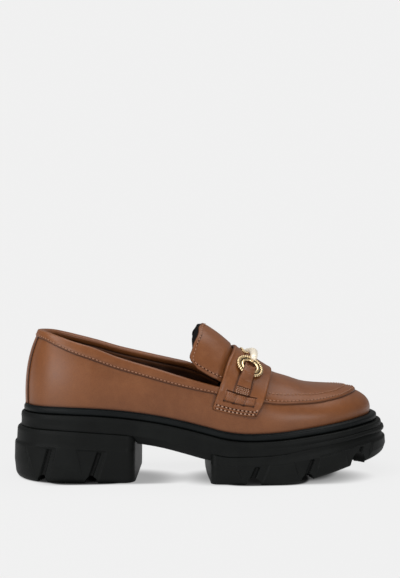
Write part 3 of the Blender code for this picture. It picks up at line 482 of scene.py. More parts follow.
def closedSlab(name, top, under, tone, material, slot, replaces=(), weld=0.004 * mm,
               sides=("first", "last", "left", "right")):
    # two grids of one size, face and seat, closed by a wall round their rims
    rows, columns = top.shape[:2]
    second = rows * columns
    faces = [gridFaces(rows, columns), gridFaces(rows, columns, first=second)[:, ::-1]]
    faces.append(rimFaces(rows, columns, second, sides)[:, ::-1])
    points = np.vstack([top.reshape(-1, 3), under.reshape(-1, 3)])
    return addPiece(name, points, faces, material, slot, replaces, weld=weld,
                    tone=np.concatenate([tone.ravel(), tone.ravel()]))


def patchPiece(name, place, tone, rows, columns, material, slot, replaces=()):
    # a closed patch: place(u, v, over) gives the face where over is 1, the seat where it is 0
    u, v = np.meshgrid(columns, rows)
    closedSlab(name, place(u, v, 1.0), place(u, v, 0.0), tone(u, v), material, slot, replaces)


# shader maths, written as Python expressions
class Wire:
    def __init__(self, tree, socket=None):
        self.tree, self.socket = tree, socket

    def node(self, kind, settings=None, values=None, output=0):
        made = self.tree.nodes.new(kind)
        for key, value in (settings or {}).items():
            if key == "stops":
                ramp = made.color_ramp
                while len(ramp.elements) < len(value):
                    ramp.elements.new(0.5)
                for element, (place, colour) in zip(ramp.elements, value):
                    element.position, element.color = place, (*colour, 1)
            else:
                setattr(made, key, value)
        for key, value in (values or {}).items():
            socket = made.inputs[key]
            if isinstance(value, Wire):
                self.tree.links.new(value.socket, socket)
            elif isinstance(value, tuple) and len(value) == 3 and socket.type == "RGBA":
                socket.default_value = (*value, 1)
            else:
                socket.default_value = value
        return Wire(self.tree, made.outputs[output])

    def math(self, operation, a, b=0.0, c=0.0):
        return self.node("ShaderNodeMath", {"operation": operation}, {0: a, 1: b, 2: c})

    def __add__(self, other):
        return self.math("ADD", self, other)

    def __sub__(self, other):
        return self.math("SUBTRACT", self, other)

    def __rsub__(self, other):
        return self.math("SUBTRACT", other, self)

    def __mul__(self, other):
        return self.math("MULTIPLY", self, other)

    def __pow__(self, other):
        return self.math("POWER", self, other)

    __radd__, __rmul__ = __add__, __mul__

    def clipped(self, low, high):
        return self.node("ShaderNodeMapRange", {"interpolation_type": "SMOOTHSTEP"},
                         {0: self, 1: low, 2: high})

    def blend(self, factor, a, b):
        return self.node("ShaderNodeMix", {"data_type": "RGBA"}, {0: factor, 6: a, 7: b}, output=2)

    def noise(self, place, scale, detail=2.0, roughness=0.5):
        return self.node("ShaderNodeTexNoise", None, {
            "Vector": place, "Scale": scale, "Detail": detail, "Roughness": roughness})

    def cells(self, place, scale, feature="F1"):
        return self.node("ShaderNodeTexVoronoi", {"feature": feature},
                         {"Vector": place, "Scale": scale})

    def bump(self, height, strength, distance):
        return self.node("ShaderNodeBump", None,
                         {"Height": height, "Strength": strength, "Distance": distance})


def startMaterial(name):
    made = bpy.data.materials.new(name)
    made.use_nodes = True
    tree = made.node_tree
    shader = tree.nodes["Principled BSDF"]
    root = Wire(tree)
    place = root.node("ShaderNodeTexCoord", output=3)
    return made, root, place, shader


def connect(root, shader, **sockets):
    # wires or plain values into the shader's sockets, an underscore standing for a space
    for key, value in sockets.items():
        socket = shader.inputs[key.replace("_", " ")]
        if isinstance(value, Wire):
            root.tree.links.new(value.socket, socket)
        elif isinstance(value, tuple):
            socket.default_value = (*value, 1)
        else:
            socket.default_value = value


def tinted(colour, factor):
    return tuple(channel * factor for channel in colour)


def toneOf(root):
    # the darkness that each mesh carries: painted shade in seams, slots, hollows and beside
    # overlays, on leather also dyed cut edges
    return root.node("ShaderNodeAttribute", {"attribute_name": "tone"}, output=2)


# edge: the colour of dyed cut edges, also the colour of the painted shade that the tone attribute
# carries
leatherLook = {
    "base": (0.190, 0.062, 0.0160), "deep": (0.154, 0.048, 0.0112), "pale": (0.218, 0.078, 0.0235),
    "edge": (0.030, 0.008, 0.002), "roughness": 0.38, "grain": 0.14,
}


def leatherMaterial(name, look, change=1.0):
    # smooth calf: pebble cells and pores as bump, cloudy colour, dark where the tone attribute says
    # (dyed cut edges and painted shade)
    made, root, place, shader = startMaterial(name)
    cloud = root.noise(place, 18.0, 2.0)
    mottle = root.noise(place, 190.0, 3.0)
    pebble = root.cells(place, 1500.0, "SMOOTH_F1")
    pores = root.noise(place, 3400.0, 2.0)
    tone = toneOf(root)
    deep, base, pale = (tinted(look[key], change) for key in ("deep", "base", "pale"))
    colour = root.blend(cloud.clipped(0.36, 0.66), deep, base)
    colour = root.blend(mottle.clipped(0.40, 0.72) * 0.30, colour, pale)
    colour = root.blend(pebble.clipped(0.34, 0.66) * 0.14, colour, look["edge"])
    colour = root.blend(tone, colour, look["edge"])
    rough = look["roughness"] + 0.10 * (mottle - 0.5) + 0.06 * pores + 0.2 * tone
    height = pebble * -0.5 + pores * 0.35 + mottle * 0.6
    connect(root, shader, Base_Color=colour, Roughness=rough, Specular_IOR_Level=0.36,
            Coat_Roughness=0.30, Coat_Weight=0.08,
            Normal=root.bump(height, look["grain"], 0.12 * mm))
    return made


def rubberMaterial(name, colour, roughness):
    # moulded rubber: fine matt skin, slightly dusty in patches, and painted shade where the tone
    # attribute says
    made, root, place, shader = startMaterial(name)
    skin = root.noise(place, 2600.0, 3.0, 0.6)
    dust = root.noise(place, 45.0, 4.0, 0.6)
    tone = toneOf(root)
    shade = root.blend(dust.clipped(0.35, 0.75), tinted(colour, 0.85), tinted(colour, 1.35))
    shade = root.blend(tone, shade, tinted(colour, 0.35))
    rough = roughness + 0.16 * (skin - 0.5) + 0.10 * (dust - 0.5)
    connect(root, shader, Base_Color=shade, Roughness=rough, Specular_IOR_Level=0.11,
            Normal=root.bump(skin + 0.5 * dust, 0.18, 0.10 * mm))
    return made


def clothMaterial(name, colour, scale):
    # knitted lining: two crossing sets of fine ridges
    made, root, place, shader = startMaterial(name)
    waves = [
        root.node("ShaderNodeTexWave", {"wave_type": "BANDS", "bands_direction": way},
                  {"Vector": place, "Scale": scale, "Distortion": 1.2, "Detail": 1.0})
        for way in ("X", "DIAGONAL")
    ]
    weave = waves[0] * waves[1]
    fuzz = root.noise(place, 900.0, 3.0)
    shade = root.blend(weave * 0.6 + fuzz * 0.3, tinted(colour, 0.7), tinted(colour, 1.8))
    connect(root, shader, Base_Color=shade, Roughness=0.82 + 0.1 * fuzz, Specular_IOR_Level=0.10,
            Normal=root.bump(weave, 0.3, 0.15 * mm))
    return made


def threadMaterial(name, colour):
    # waxed thread: twisted strands as bump
    made, root, place, shader = startMaterial(name)
    strand = root.node("ShaderNodeTexWave", {"bands_direction": "DIAGONAL"},
                       {"Vector": place, "Scale": 900.0})
    fuzz = root.noise(place, 1600.0, 2.0)
    shade = root.blend(strand * 0.5 + fuzz * 0.3, tinted(colour, 0.75), tinted(colour, 1.25))
    connect(root, shader, Base_Color=shade, Roughness=0.55 + 0.15 * fuzz,
            Normal=root.bump(strand, 0.35, 0.08 * mm))
    return made


def metalMaterial(name, colour, metallic=1.0, roughness=0.16):
    # polished light gold with fine wear, and painted shade where the tone attribute says
    made, root, place, shader = startMaterial(name)
    wear = root.noise(place, 420.0, 4.0, 0.6)
    fine = root.noise(place, 2400.0, 2.0)
    tone = toneOf(root)
    shade = root.blend(wear.clipped(0.45, 0.75) * 0.4, colour, tinted(colour, 0.82))
    shade = root.blend(tone, shade, (0.05, 0.03, 0.012))
    connect(root, shader, Base_Color=shade, Roughness=roughness + 0.10 * wear, Metallic=metallic,
            Normal=root.bump(fine, 0.05, 0.05 * mm))
    return made


leather = leatherMaterial("brown_leather", leatherLook)
strapLeather = leatherMaterial("brown_strap_leather", leatherLook, 1.04)
rubber = rubberMaterial("black_rubber", (0.0040, 0.0046, 0.0043), 0.54)
weltRubber = rubberMaterial("rand_rubber", (0.0044, 0.0056, 0.0058), 0.46)
lining = clothMaterial("black_lining", (0.004, 0.004, 0.004), 700.0)
sockLeather = rubberMaterial("black_sock", (0.013, 0.012, 0.012), 0.6)
thread = threadMaterial("brown_thread", (0.305, 0.148, 0.082))
paleThread = threadMaterial("pale_thread", (0.360, 0.210, 0.140))
holeShade = rubberMaterial("needle_hole", (0.020, 0.006, 0.003), 0.8)
gold = metalMaterial("light_gold", (0.86, 0.66, 0.38))
# painted highlight: a near-white, mostly non-metal gold for the bar, standing in for its reflection
# of the overhead light
goldWithPaintedHighlight = metalMaterial("gold_with_painted_highlight", (0.98, 0.88, 0.71), 0.20, 0.24)
print("materials are ready")


# the upper
upperShape = {
    "columns": 300, "rows": 66, "wall": 1.3 * mm, "foot": 4.4 * mm, "throatRoom": 1.6 * mm,
    "liningColumns": 130, "liningInset": 1.45 * mm, "liningWall": 0.6 * mm,
    # painted shade beside the overlays, in the groove over the rand and on the wall above it
    "shades": {"band": 0.75, "apron": 0.6, "strap": 0.35, "foot": 0.8, "low": 0.26},
    # soft folds of the leather: side (-1 outer, 1 inner), from share and height mm, to share and
    # height mm, width mm, depth mm (a trough is positive)
    "creases": [
        (-1, 0.440, 30, 0.420, 6, 7.0, 0.35), (-1, 0.480, 26, 0.470, 4, 5.0, 0.25),
        (-1, 0.375, 30, 0.350, 8, 6.0, 0.28), (-1, 0.300, 33, 0.270, 10, 9.0, 0.30),
        (-1, 0.515, 10, 0.600, 4, 5.0, 0.30), (-1, 0.650, 14, 0.560, 5, 6.0, 0.22),
        (-1, 0.200, 38, 0.185, 12, 8.0, -0.25), (-1, 0.395, 24, 0.455, 14, 5.0, 0.18),
        (1, 0.430, 32, 0.400, 8, 7.0, 0.35), (1, 0.490, 28, 0.470, 6, 6.0, 0.28),
        (1, 0.350, 34, 0.330, 8, 7.0, 0.30), (1, 0.560, 12, 0.620, 6, 6.0, 0.25),
        (1, 0.270, 36, 0.250, 10, 8.0, -0.22),
    ],
}


def creaseLift(t, angle):
    # each fold is a soft trough round a line in the side's own map: depth times a bell of the
    # distance
    point = last(t, angle)
    share = shareOf(t) * lastShape["upperLength"]
    height = point[..., 2] - featherZ(rawPlan(t)[0][..., 0])
    side = np.where(onInner(t), 1, -1)
    total = np.zeros(np.broadcast(share, height).shape)
    for where, share0, height0, share1, height1, width, depth in upperShape["creases"]:
        start = np.array([share0 * lastShape["upperLength"], height0 * mm])
        way = np.array([share1 * lastShape["upperLength"], height1 * mm]) - start
        along = ((share - start[0]) * way[0] + (height - start[1]) * way[1]) / (way @ way)
        nearest = np.clip(along, 0, 1)
        away = np.hypot(share - start[0] - way[0] * nearest, height - start[1] - way[1] * nearest)
        fade = 1 - 0.5 * np.abs(2 * nearest - 1)
        total = total - depth * mm * fade * bell(away, width * mm) * (side == where)
    return total


def ribTops(t, below, spineAngle):
    # the angle at which each rib ends: below the collar's edge, past the throat at the spine
    share = shareOf(t)
    under = angleForHeight(t, collarHeightAt(t) - below)
    closing = ease(lastShape["collarEnd"], lastShape["throatEnd"], share)
    return np.where(share >= lastShape["throatEnd"], spineAngle,
                    under + (spineAngle - under) * closing)


def besideOverlays(t, angle, height):
    # painted shade on the leather just outside the edges of the band, the apron and the strap
    share = shareOf(t)
    fromBand = collarHeightAt(t) - bandDepthAt(t) - height
    band = bell(fromBand, 0.42 * mm) * (share < lastShape["collarEnd"])
    ahead = last(t, np.minimum(angle + 0.01, 0.99)) - last(t, np.minimum(angle, 0.98))
    speed = np.linalg.norm(ahead, axis=-1) / 0.01
    apron = bell((seamAngle(t) - angle) * speed, 0.6 * mm) * (share > apronShape["root"])
    edges = np.array(saddleShape["edges"])
    down = np.interp(-angle, -edges[:, 3], edges[:, 0])
    rear, front = (curveThrough(saddleShape["edges"], column, down) for column in (1, 2))
    outside = np.maximum(rear - share, share - front) * lastShape["upperLength"]
    strap = bell(np.clip(outside, 0, None), 0.6 * mm) * (down < 1.03)
    shades = upperShape["shades"]
    return shades["band"] * band + shades["apron"] * apron + shades["strap"] * strap


def addWall(piece, thickness):
    # leather thickness, inwards from a surface
    wall = piece.modifiers.new("wall", "SOLIDIFY")
    wall.thickness, wall.offset = thickness, -1.0
    return wall


def makeUpper():
    # ribs of the last from below the rand up to the collar's edge, the throat closing over the
    # spine
    t = evenRing(upperShape["columns"])
    step = np.linspace(0, 1, upperShape["rows"])[:, None] ** 1.1
    angle = ribTops(t, upperShape["throatRoom"], 1.0)[None] * step
    turn = np.broadcast_to(t, angle.shape)
    folds = creaseLift(turn, angle) * ease(0, 0.06, angle) * (1 - ease(0.90, 1.0, step))
    shell = last(turn, angle, folds + 1e-9)
    foot = ringPoints(t, 0.0, lambda x: featherZ(x) - upperShape["foot"])
    height = shell[..., 2] - featherZ(foot[:, 0])
    above = np.clip(height, 0, None)
    # painted shade: dark in the groove over the rand, darker low on the wall, beside the overlays,
    # and on the hidden foot row
    low = upperShape["shades"]["foot"] * bell(above, 0.9 * mm)
    low = low + upperShape["shades"]["low"] * np.exp(-above / (11 * mm))
    tone = np.clip(low + besideOverlays(turn, angle, height), 0, 1)
    points = np.vstack([foot[None], shell])
    faces = gridFaces(len(points), len(t), wrapColumns=True)
    piece = addPiece("upper_leather", points, faces, leather, "upper_leather", ("upper",),
                     weld=0.02 * mm, tone=np.concatenate([np.full(len(t), 0.6), tone.ravel()]))
    addWall(piece, upperShape["wall"]).use_even_offset = True


def makeInnerLining():
    # the same ribs a wall further in, from the sock up to just below the collar's edge
    t = evenRing(upperShape["liningColumns"])
    inset = upperShape["liningInset"]
    angle = ribTops(t, 3.5 * mm, 0.985)[None] * np.linspace(0.0, 1, 30)[:, None]
    shell = last(np.broadcast_to(t, angle.shape), angle, -inset)
    foot = ringPoints(t, -inset, lambda x: featherZ(x) - upperShape["foot"])
    points = np.vstack([foot[None], shell])
    faces = gridFaces(len(points), len(t), wrapColumns=True)
    addWall(addPiece("inner_lining", points, faces, lining, "lining"), upperShape["liningWall"])


# the moccasin apron
apronShape = {
    "root": 0.643, "lift": 0.15 * mm, "thickness": 1.55 * mm, "roll": 1.3 * mm, "columns": 150,
    "across": 46,
    # share of the upper's length, angle of the seam outside and inside
    "seam": [
        (0.640, 0.285, 0.285), (0.700, 0.312, 0.312), (0.760, 0.342, 0.342), (0.810, 0.378, 0.378),
        (0.855, 0.420, 0.420), (0.905, 0.468, 0.468), (0.940, 0.518, 0.518), (0.975, 0.572, 0.572),
        (1.000, 0.600, 0.600),
    ],
    # each stitched channel's distance from the seam and depth, mm
    "rows": [(1.9, 0.10), (7.6, 0.02)],
}


def seamAngle(t):
    # angle up the section at which the apron's seam runs
    outer, inner = (curveThrough(apronShape["seam"], column, shareOf(t)) for column in (1, 2))
    return np.where(onInner(t), inner, outer)


def ribSpeed(t, angle):
    # length up a rib for one unit of angle
    return np.linalg.norm(last(t, angle + 0.01) - last(t, angle), axis=-1) / 0.01


def makeApron():
    # strips from the outer seam over the spine to the inner seam, the face rolling down at the seam
    half = evenTurns(apronShape["columns"], float(tAt(apronShape["root"])))
    steps = apronShape["roll"] * (1 - np.cos(np.linspace(0, math.pi / 2, 7)))
    even = np.linspace(0, 1, apronShape["across"])[1:, None]
    strips, unders, tones = [], [], []
    for t in (half, otherSide(half)):
        start = seamAngle(t)
        speed = ribSpeed(t, start)
        rest = even * (1 - start - steps[-1] / speed) + steps[-1] / speed
        angle = start + np.vstack([steps[:, None] / speed, rest])
        turn = np.broadcast_to(t, angle.shape)
        away = (angle - start) * speed
        channel = sum(depth * mm * bell(away - row * mm, 0.55 * mm)
                      for row, depth in apronShape["rows"])
        face = apronShape["thickness"] * rolled(away, apronShape["roll"])
        lift = apronShape["lift"] + face - channel
        strips.append(last(turn, angle, lift))
        unders.append(last(turn, angle, 0.05 * mm))
        # painted shade where the face rolls down into the seam, and faintly in the first stitched
        # channel
        tones.append(0.75 * np.exp(-away / (0.35 * mm)) + 0.12 * bell(away - 1.9 * mm, 0.7 * mm))
    top, under, tone = (
        np.concatenate([outer, inner[-2::-1]]).swapaxes(0, 1)
        for outer, inner in (strips, unders, tones))
    closedSlab("apron_leather", top, under, tone, leather, "upper_leather", ("apron",), 0.01 * mm,
               ("first", "left", "right"))


def liftedPath(face, lift):
    # a line on a face and the way out from it, face(lift) giving the line at a height
    return face(lift), face(lift + mm) - face(lift)


def seamPath(distance, lift, low, count):
    # a line round the apron, a distance inside its seam
    half = evenTurns(count, float(tAt(low)))
    t = np.concatenate([half, otherSide(half[-2::-1])])
    start = seamAngle(t)
    return liftedPath(lambda high: last(t, start + distance / ribSpeed(t, start), high), lift)


makeApron()
print("apron is made")


# the saddle strap across the instep
saddleShape = {
    "wide": 0.0338, "long": 0.066, "thickness": 2.0 * mm, "roll": 1.0 * mm, "lift": 0.25 * mm,
    "overlay": 2.15 * mm, "crown": 0.35 * mm, "face": 4.2 * mm, "tilt": 0.050,
    "corner": 2.2 * mm,
    # how far the face dips at the patch's slots, at a stitch row, in the tab's hollow and beside
    # the tab
    "slotDepth": 0.95 * mm, "stitchDepth": 0.14 * mm, "hollowDepth": 0.9 * mm,
    "besideDepth": 0.15 * mm,
    # down the strap from the spine, rear and front edge along the upper, angle up the section
    "edges": [
        (0.00, 0.590, 0.700, 1.000), (0.12, 0.586, 0.697, 0.880), (0.30, 0.576, 0.689, 0.700),
        (0.50, 0.561, 0.678, 0.520), (0.70, 0.547, 0.667, 0.365), (0.86, 0.533, 0.655, 0.245),
        (1.00, 0.521, 0.640, 0.145), (1.06, 0.516, 0.635, 0.104),
    ],
    "ringDown": 0.400, "ringAcross": 0.46, "stitchRows": (1.7 * mm, 3.9 * mm), "sideRow": 1.8 * mm,
}
patchShape = {
    "down": 0.828, "across": 0.50, "length": 22.5 * mm, "height": 7.2 * mm, "loops": 3,
    "slot": 0.42 * mm,
}
sideNames = {False: "outer", True: "inner"}


def leaned(down, share):
    # the strap's lower end leans: its rear corner hangs lower than its front one
    return down + saddleShape["tilt"] * (1 - share) * ease(0.40, 0.92, down)


def strapEdges(down, share):
    # place on the outline and angle up the section
    rear, front = (curveThrough(saddleShape["edges"], column, down) for column in (1, 2))
    return rear + (front - rear) * share, curveThrough(saddleShape["edges"], 3, leaned(down, share))


def onSaddle(down, share, inner, lift):
    # a point over the strap. share: 0 at the rear edge, 1 at the front. lift: above its outer face
    along, angle = strapEdges(np.asarray(down, float), np.asarray(share, float))
    return last(tAt(along, inner), angle, saddleShape["face"] + lift)


def strapSize(down, inner):
    # width across the strap and length down it for one unit of down, near a place on it
    width = np.linalg.norm(onSaddle(down, 1.0, inner, 0.0) - onSaddle(down, 0.0, inner, 0.0))
    below, above = (onSaddle(down + step, 0.5, inner, 0.0) for step in (0.05, -0.05))
    return width, np.linalg.norm(below - above) / 0.1


def saddleSeat(angle):
    # height of the strap's under side: low on the vamp, higher over the apron
    seam = float(curveThrough(apronShape["seam"], 1, 0.64))
    step = saddleShape["overlay"] - saddleShape["lift"]
    return saddleShape["lift"] + step * ease(seam - 0.10, seam - 0.02, angle)


def slotMask(share, down, inner):
    # the cut lines above and below the woven patch, thicker where two loops meet, faint at its ends
    width, length = strapSize(patchShape["down"], inner)
    along = (share - patchShape["across"]) * width / patchShape["length"]
    high = patchShape["height"] / 2
    up = (down - patchShape["down"]) * length
    inside = 1 - ease(0.49, 0.52, np.abs(along))
    joint = np.abs(np.cos(math.pi * patchShape["loops"] * (along + 0.5))) ** 6
    upper = bell(up + high, patchShape["slot"]) * inside
    thick = patchShape["slot"] * (0.55 + 0.85 * joint)
    lower = bell(up - high, thick) * inside * (0.62 + 0.38 * joint)
    ends = bell((np.abs(along) - 0.5) * patchShape["length"], 0.32 * mm)
    ends = ends * (1 - ease(high - 0.4 * mm, high, np.abs(up)))
    return np.clip(np.maximum(np.maximum(upper, lower), 0.15 * ends), 0, 1)


def tabHalf(down):
    # half the tab's width, from inside the ring to its foot
    part = np.clip((down - bitShape["tabTop"]) / (bitShape["tabFoot"] - bitShape["tabTop"]), 0, 1)
    return (bitShape["tabTopWidth"] + (bitShape["tabWidth"] - bitShape["tabTopWidth"]) * part) / 2


def tabShade(share, down, inner):
    # darkness round the tab's outline and the hollow that its upper end comes out of: painted
    # shadow of the tab and painted shade in the hollow, also used as dips in the face
    width, length = strapSize(0.5, inner)
    aside = np.abs(share - saddleShape["ringAcross"] - tabLean(down)) * width - tabHalf(down)
    beside = bell(aside - 0.3 * mm, 0.75 * mm) * ease(0.36, 0.40, down)
    hollow = bell((down - bitShape["tabTop"] + 0.018) * length, 1.1 * mm)
    return beside * (1 - ease(0.79, 0.81, down)), hollow * (1 - ease(-0.2 * mm, 0.8 * mm, aside))


def makeSaddle():
    # rows down one side, over the spine and down the other; across it the face is crowned and rolls
    # at its edges
    wide, long, corner = saddleShape["wide"], saddleShape["long"], saddleShape["corner"]
    across = edgeSteps(92, wide, saddleShape["roll"])
    end = edgeSteps(3, long, saddleShape["roll"])[-6:]
    half = np.concatenate([np.linspace(0, 0.70, 84)[:-1], np.linspace(0.70, end[0], 92)[:-1], end])
    down, share = np.meshgrid(half, across, indexing="ij")
    along, angle = strapEdges(down, share)
    toEnd, toSide = (1 - down) * long, np.minimum(share, 1 - share) * wide
    rounded = corner - np.hypot(np.clip(corner - toEnd, 0, None), np.clip(corner - toSide, 0, None))
    inCorner = (toEnd < corner) & (toSide < corner)
    edge = np.where(inCorner, np.clip(rounded, 0, None), np.minimum(toSide, toEnd))
    stitched = sum(bell(toEnd - row, 0.55 * mm) for row in saddleShape["stitchRows"])
    stitched = stitched * ease(1.2 * mm, 2.0 * mm, toSide)
    rim = (0.30 - 0.22 * ease(0.3, 0.7, share)) * mm * bell(toSide - 1.3 * mm, 0.9 * mm)
    swell = saddleShape["crown"] * np.sin(math.pi * share) ** 0.7 * ease(0.004, 0.014, toEnd)
    seat = saddleSeat(angle)
    face = seat + (saddleShape["thickness"] + swell + rim) * rolled(edge, saddleShape["roll"])
    tops, unders, tones = [], [], []
    for inner in (False, True):
        t = tAt(along, inner)
        slots = slotMask(share, down, inner)
        beside, hollow = tabShade(share, down, inner)
        lift = face - saddleShape["slotDepth"] * slots - saddleShape["stitchDepth"] * stitched
        lift = lift - saddleShape["hollowDepth"] * hollow - saddleShape["besideDepth"] * beside
        tops.append(last(t, angle, lift))
        unders.append(last(t, angle, seat))
        # painted shade: dark at the rolled edge (dyed edge and shade), in the slots, along the
        # stitch rows, round the tab and in its hollow
        shade = 0.6 * bell(edge, 0.3 * mm) + 0.95 * slots + 0.12 * stitched + 0.7 * beside + hollow
        tones.append(np.clip(shade, 0, 1))
    top, under, tone = (np.concatenate([pair[0][::-1], pair[1][1:]])
                        for pair in (tops, unders, tones))
    closedSlab("saddle_leather", top, under, tone, strapLeather, "strap_leather", ("saddle",))


def makePatch(inner):
    # three puffed loops side by side: |sin| along the patch, a rounded arch up it
    width, length = strapSize(patchShape["down"], inner)
    halfHigh = patchShape["height"] / 2 / length

    def loop(u):
        return np.abs(np.sin(math.pi * patchShape["loops"] * u))

    def place(u, v, over):
        hump = loop(u) ** 0.5
        arch = np.sqrt(np.clip(1 - np.abs(2 * v - 1) ** 3.2, 0, 1))
        high = 1.45 * mm + 0.85 * mm * hump
        rise = -0.8 * mm + high * arch * rolled(np.minimum(u, 1 - u), 0.05)
        crease = 0.10 * mm * np.sin(u * 95 + v * 3) * arch
        lift = np.where(over > 0.5, rise + crease, -1.0 * mm)
        share = patchShape["across"] + (u - 0.5) * patchShape["length"] * 0.98 / width
        return onSaddle(patchShape["down"] + (2 * v - 1) * halfHigh * 0.94, share, inner, lift)

    def tone(u, v):
        # painted shade in the joints between the loops, deepest at their corners, and at the rims
        # where the loops go under the slots
        joint = bell(loop(u), 0.20)
        rim = ease(0.84, 1.0, np.abs(2 * v - 1))
        corner = joint * ease(0.6, 1.0, np.abs(2 * v - 1))
        return np.clip(0.9 * corner + 0.30 * joint + 0.9 * rim, 0, 1)

    side = sideNames[inner]
    patchPiece("woven_patch_" + side, place, tone, np.linspace(0, 1, 34), np.linspace(0, 1, 121),
               strapLeather, "strap_leather", ("lace_" + side,))


def ringFrame(inner):
    # the point on the strap's face under the ring's middle, and its ways forward, down and out
    down, share, step = saddleShape["ringDown"], saddleShape["ringAcross"], 0.02
    ahead = onSaddle(down, share + step, inner, 0.0) - onSaddle(down, share - step, inner, 0.0)
    below = onSaddle(down + step, share, inner, 0.0) - onSaddle(down - step, share, inner, 0.0)
    below /= np.linalg.norm(below)
    ahead -= below * np.dot(ahead, below)
    ahead /= np.linalg.norm(ahead)
    out = np.cross(ahead, below)
    return onSaddle(down, share, inner, 0.0), ahead, below, out if out[2] > 0 else -out


# the bit: two rings, a bar and the tabs that hold it
bitShape = {
    "standoff": 0.6 * mm, "wire": 1.25 * mm, "rimRadius": 9.5 * mm, "rimWire": 1.15 * mm,
    "beads": 34, "eyeRadius": 6.1 * mm, "eyeWire": 0.95 * mm, "webWidth": 1.7 * mm,
    "webRise": 0.40 * mm, "barStart": 0.318, "barRadius": 2.55 * mm, "barSwell": 0.55 * mm,
    "ropeRadius": 0.95 * mm, "tabTop": 0.378, "tabFoot": 0.700, "tailFoot": 0.772,
    "tabWidth": 11.2 * mm, "tabTopWidth": 8.2 * mm, "tabThickness": 1.6 * mm, "tabRoll": 0.6 * mm,
    "lean": 0.016, "around": 272, "sides": 16,
    # the beaded wire behind the bar, and the stitch rows over the tab's tail
    "ropeStart": 0.185, "ropeBehind": 4.9 * mm, "ropeBow": 4.6 * mm, "ropeBeads": 32,
    "tabRows": (0.706, 0.726, 0.746, 0.764), "tabRowHalf": 4.9 * mm,
}


def tabLean(down):
    # the tab's middle line leans forwards a little on its way down
    return bitShape["lean"] * ease(0.45, 0.80, down)


def makeRing(inner):
    # tori round one centre: a smooth eye, a flat web and a beaded rim whose wire swells and thins
    point, ahead, below, out = ringFrame(inner)
    centre = point + out * (bitShape["wire"] + bitShape["standoff"])
    middle = (bitShape["eyeRadius"] + bitShape["rimRadius"]) / 2
    around, sides = bitShape["around"], bitShape["sides"]
    points, faces, tones = [], [], []
    parts = [
        # radius, wire, flatness, depth of the beads, painted shade
        (bitShape["eyeRadius"], bitShape["eyeWire"], 1.0, 0.0, 0.0),
        (middle, bitShape["webWidth"], bitShape["webRise"] / bitShape["webWidth"], 0.0, 0.92),
        (bitShape["rimRadius"], bitShape["rimWire"], 1.0, 0.26, 0.0),
    ]
    for radius, wire, flat, bead, dark in parts:
        turn = np.linspace(0, 2 * math.pi, around + 1)[:-1, None]
        side = np.linspace(0, 2 * math.pi, sides + 1)[None, :-1]
        twist = 0.35 * np.sin(side) if bead else 0.0
        swell = 1 - bead + bead * np.abs(np.cos(turn * bitShape["beads"] / 2 + twist)) ** 0.8
        reach = radius + wire * swell * np.cos(side)
        rise = wire * swell * flat * np.sin(side)
        way = np.cos(turn)[..., None] * ahead + np.sin(turn)[..., None] * below
        faces.append(gridFaces(around, sides, True, True, first=len(points) * around * sides))
        points.append((centre + way * reach[..., None] + out * rise[..., None]).reshape(-1, 3))
        # painted shade: dark over the web and in the dips between the beads
        shade = np.clip(dark + (1 - swell) * 3.4, 0, 1)
        tones.append(np.broadcast_to(shade, (around, sides)).ravel())
    side = sideNames[inner]
    addPiece("bit_ring_" + side + "_gold", np.vstack(points), np.vstack(faces), gold, "hardware",
             ("bit_ring_" + side,), tone=np.concatenate(tones))


def tubeAlong(path, radius, sides):
    # a round tube along a path, its radius given at each point
    way = unit(np.gradient(path, axis=0))
    across = unit(np.cross(way, np.array([1.0, 0.0, 0.0]) + 0 * way))
    other = np.cross(way, across)
    turn = np.arange(sides) * 2 * math.pi / sides
    ring = across[:, None] * np.cos(turn)[:, None] + other[:, None] * np.sin(turn)[:, None]
    return path[:, None] + ring * radius[:, None, None]


def roundEnds(along, length):
    # 1 along a tube, falling to a point over the last share of its length
    past = np.clip((np.abs(along) - 1 + length) / length, 0, 1)
    return np.sqrt(np.clip(1 - past ** 2, 1e-4, 1))


def overRidge(down, share, lift):
    # a path up the outer side, over the ridge and down the inner side
    outer, inner = (onSaddle(down, share, side, lift) for side in (False, True))
    return np.concatenate([outer, inner[-2::-1]])


def makeBar():
    # the mouthpiece: a barrel over the ridge that swells at its middle and hooks over both rings,
    # with a beaded wire bowed behind it
    half = np.linspace(0, 1, 90)
    down = bitShape["barStart"] * (1 - half)
    radius = bitShape["barRadius"] + bitShape["barSwell"] * (1 - (1 - half) ** 2) ** 1.6
    hook = 1 - ease(0.10, 0.62, half)
    overRing = 2 * bitShape["wire"] + bitShape["standoff"] - radius * 0.45
    lift = radius + 0.20 * mm + overRing * hook
    path = overRidge(down, saddleShape["ringAcross"], lift)
    along = np.linspace(-1, 1, len(path))
    full = np.concatenate([radius, radius[-2::-1]])
    full = full * (1 - 0.10 * bell(np.abs(along) - 0.66, 0.03))
    barrel = tubeAlong(path, full * roundEnds(along, 0.11), 32)
    # the barrel's gold carries a painted highlight
    addPiece("bit_bar_gold", barrel.reshape(-1, 3), gridFaces(len(path), 32, wrapColumns=True),
             goldWithPaintedHighlight, "hardware", ("bit_bar",))
    bow = bitShape["ropeBow"] * (1 - (1 - half) ** 2)
    shift = (bitShape["ropeBehind"] + bow) / saddleShape["wide"]
    lift = 0.70 * mm + 1.6 * mm * (1 - ease(0.0, 0.25, half))
    rope = overRidge(bitShape["ropeStart"] * (1 - half), saddleShape["ringAcross"] - shift, lift)
    fine = np.linspace(0, 1, 480)
    rope = sampled(rope, np.linspace(0, 1, len(rope)), fine)
    beads = np.abs(np.cos(fine * math.pi * bitShape["ropeBeads"]))
    beads = bitShape["ropeRadius"] * (0.70 + 0.30 * beads)
    # painted shade in the dips between the beads
    dark = np.clip((1 - beads / bitShape["ropeRadius"]) * 3.6 + 0.15, 0, 0.95)
    wire = tubeAlong(rope, beads * roundEnds(2 * fine - 1, 0.02), 12)
    addPiece("bit_rope_gold", wire.reshape(-1, 3), gridFaces(len(fine), 12, wrapColumns=True), gold,
             "hardware", tone=np.repeat(dark, 12))


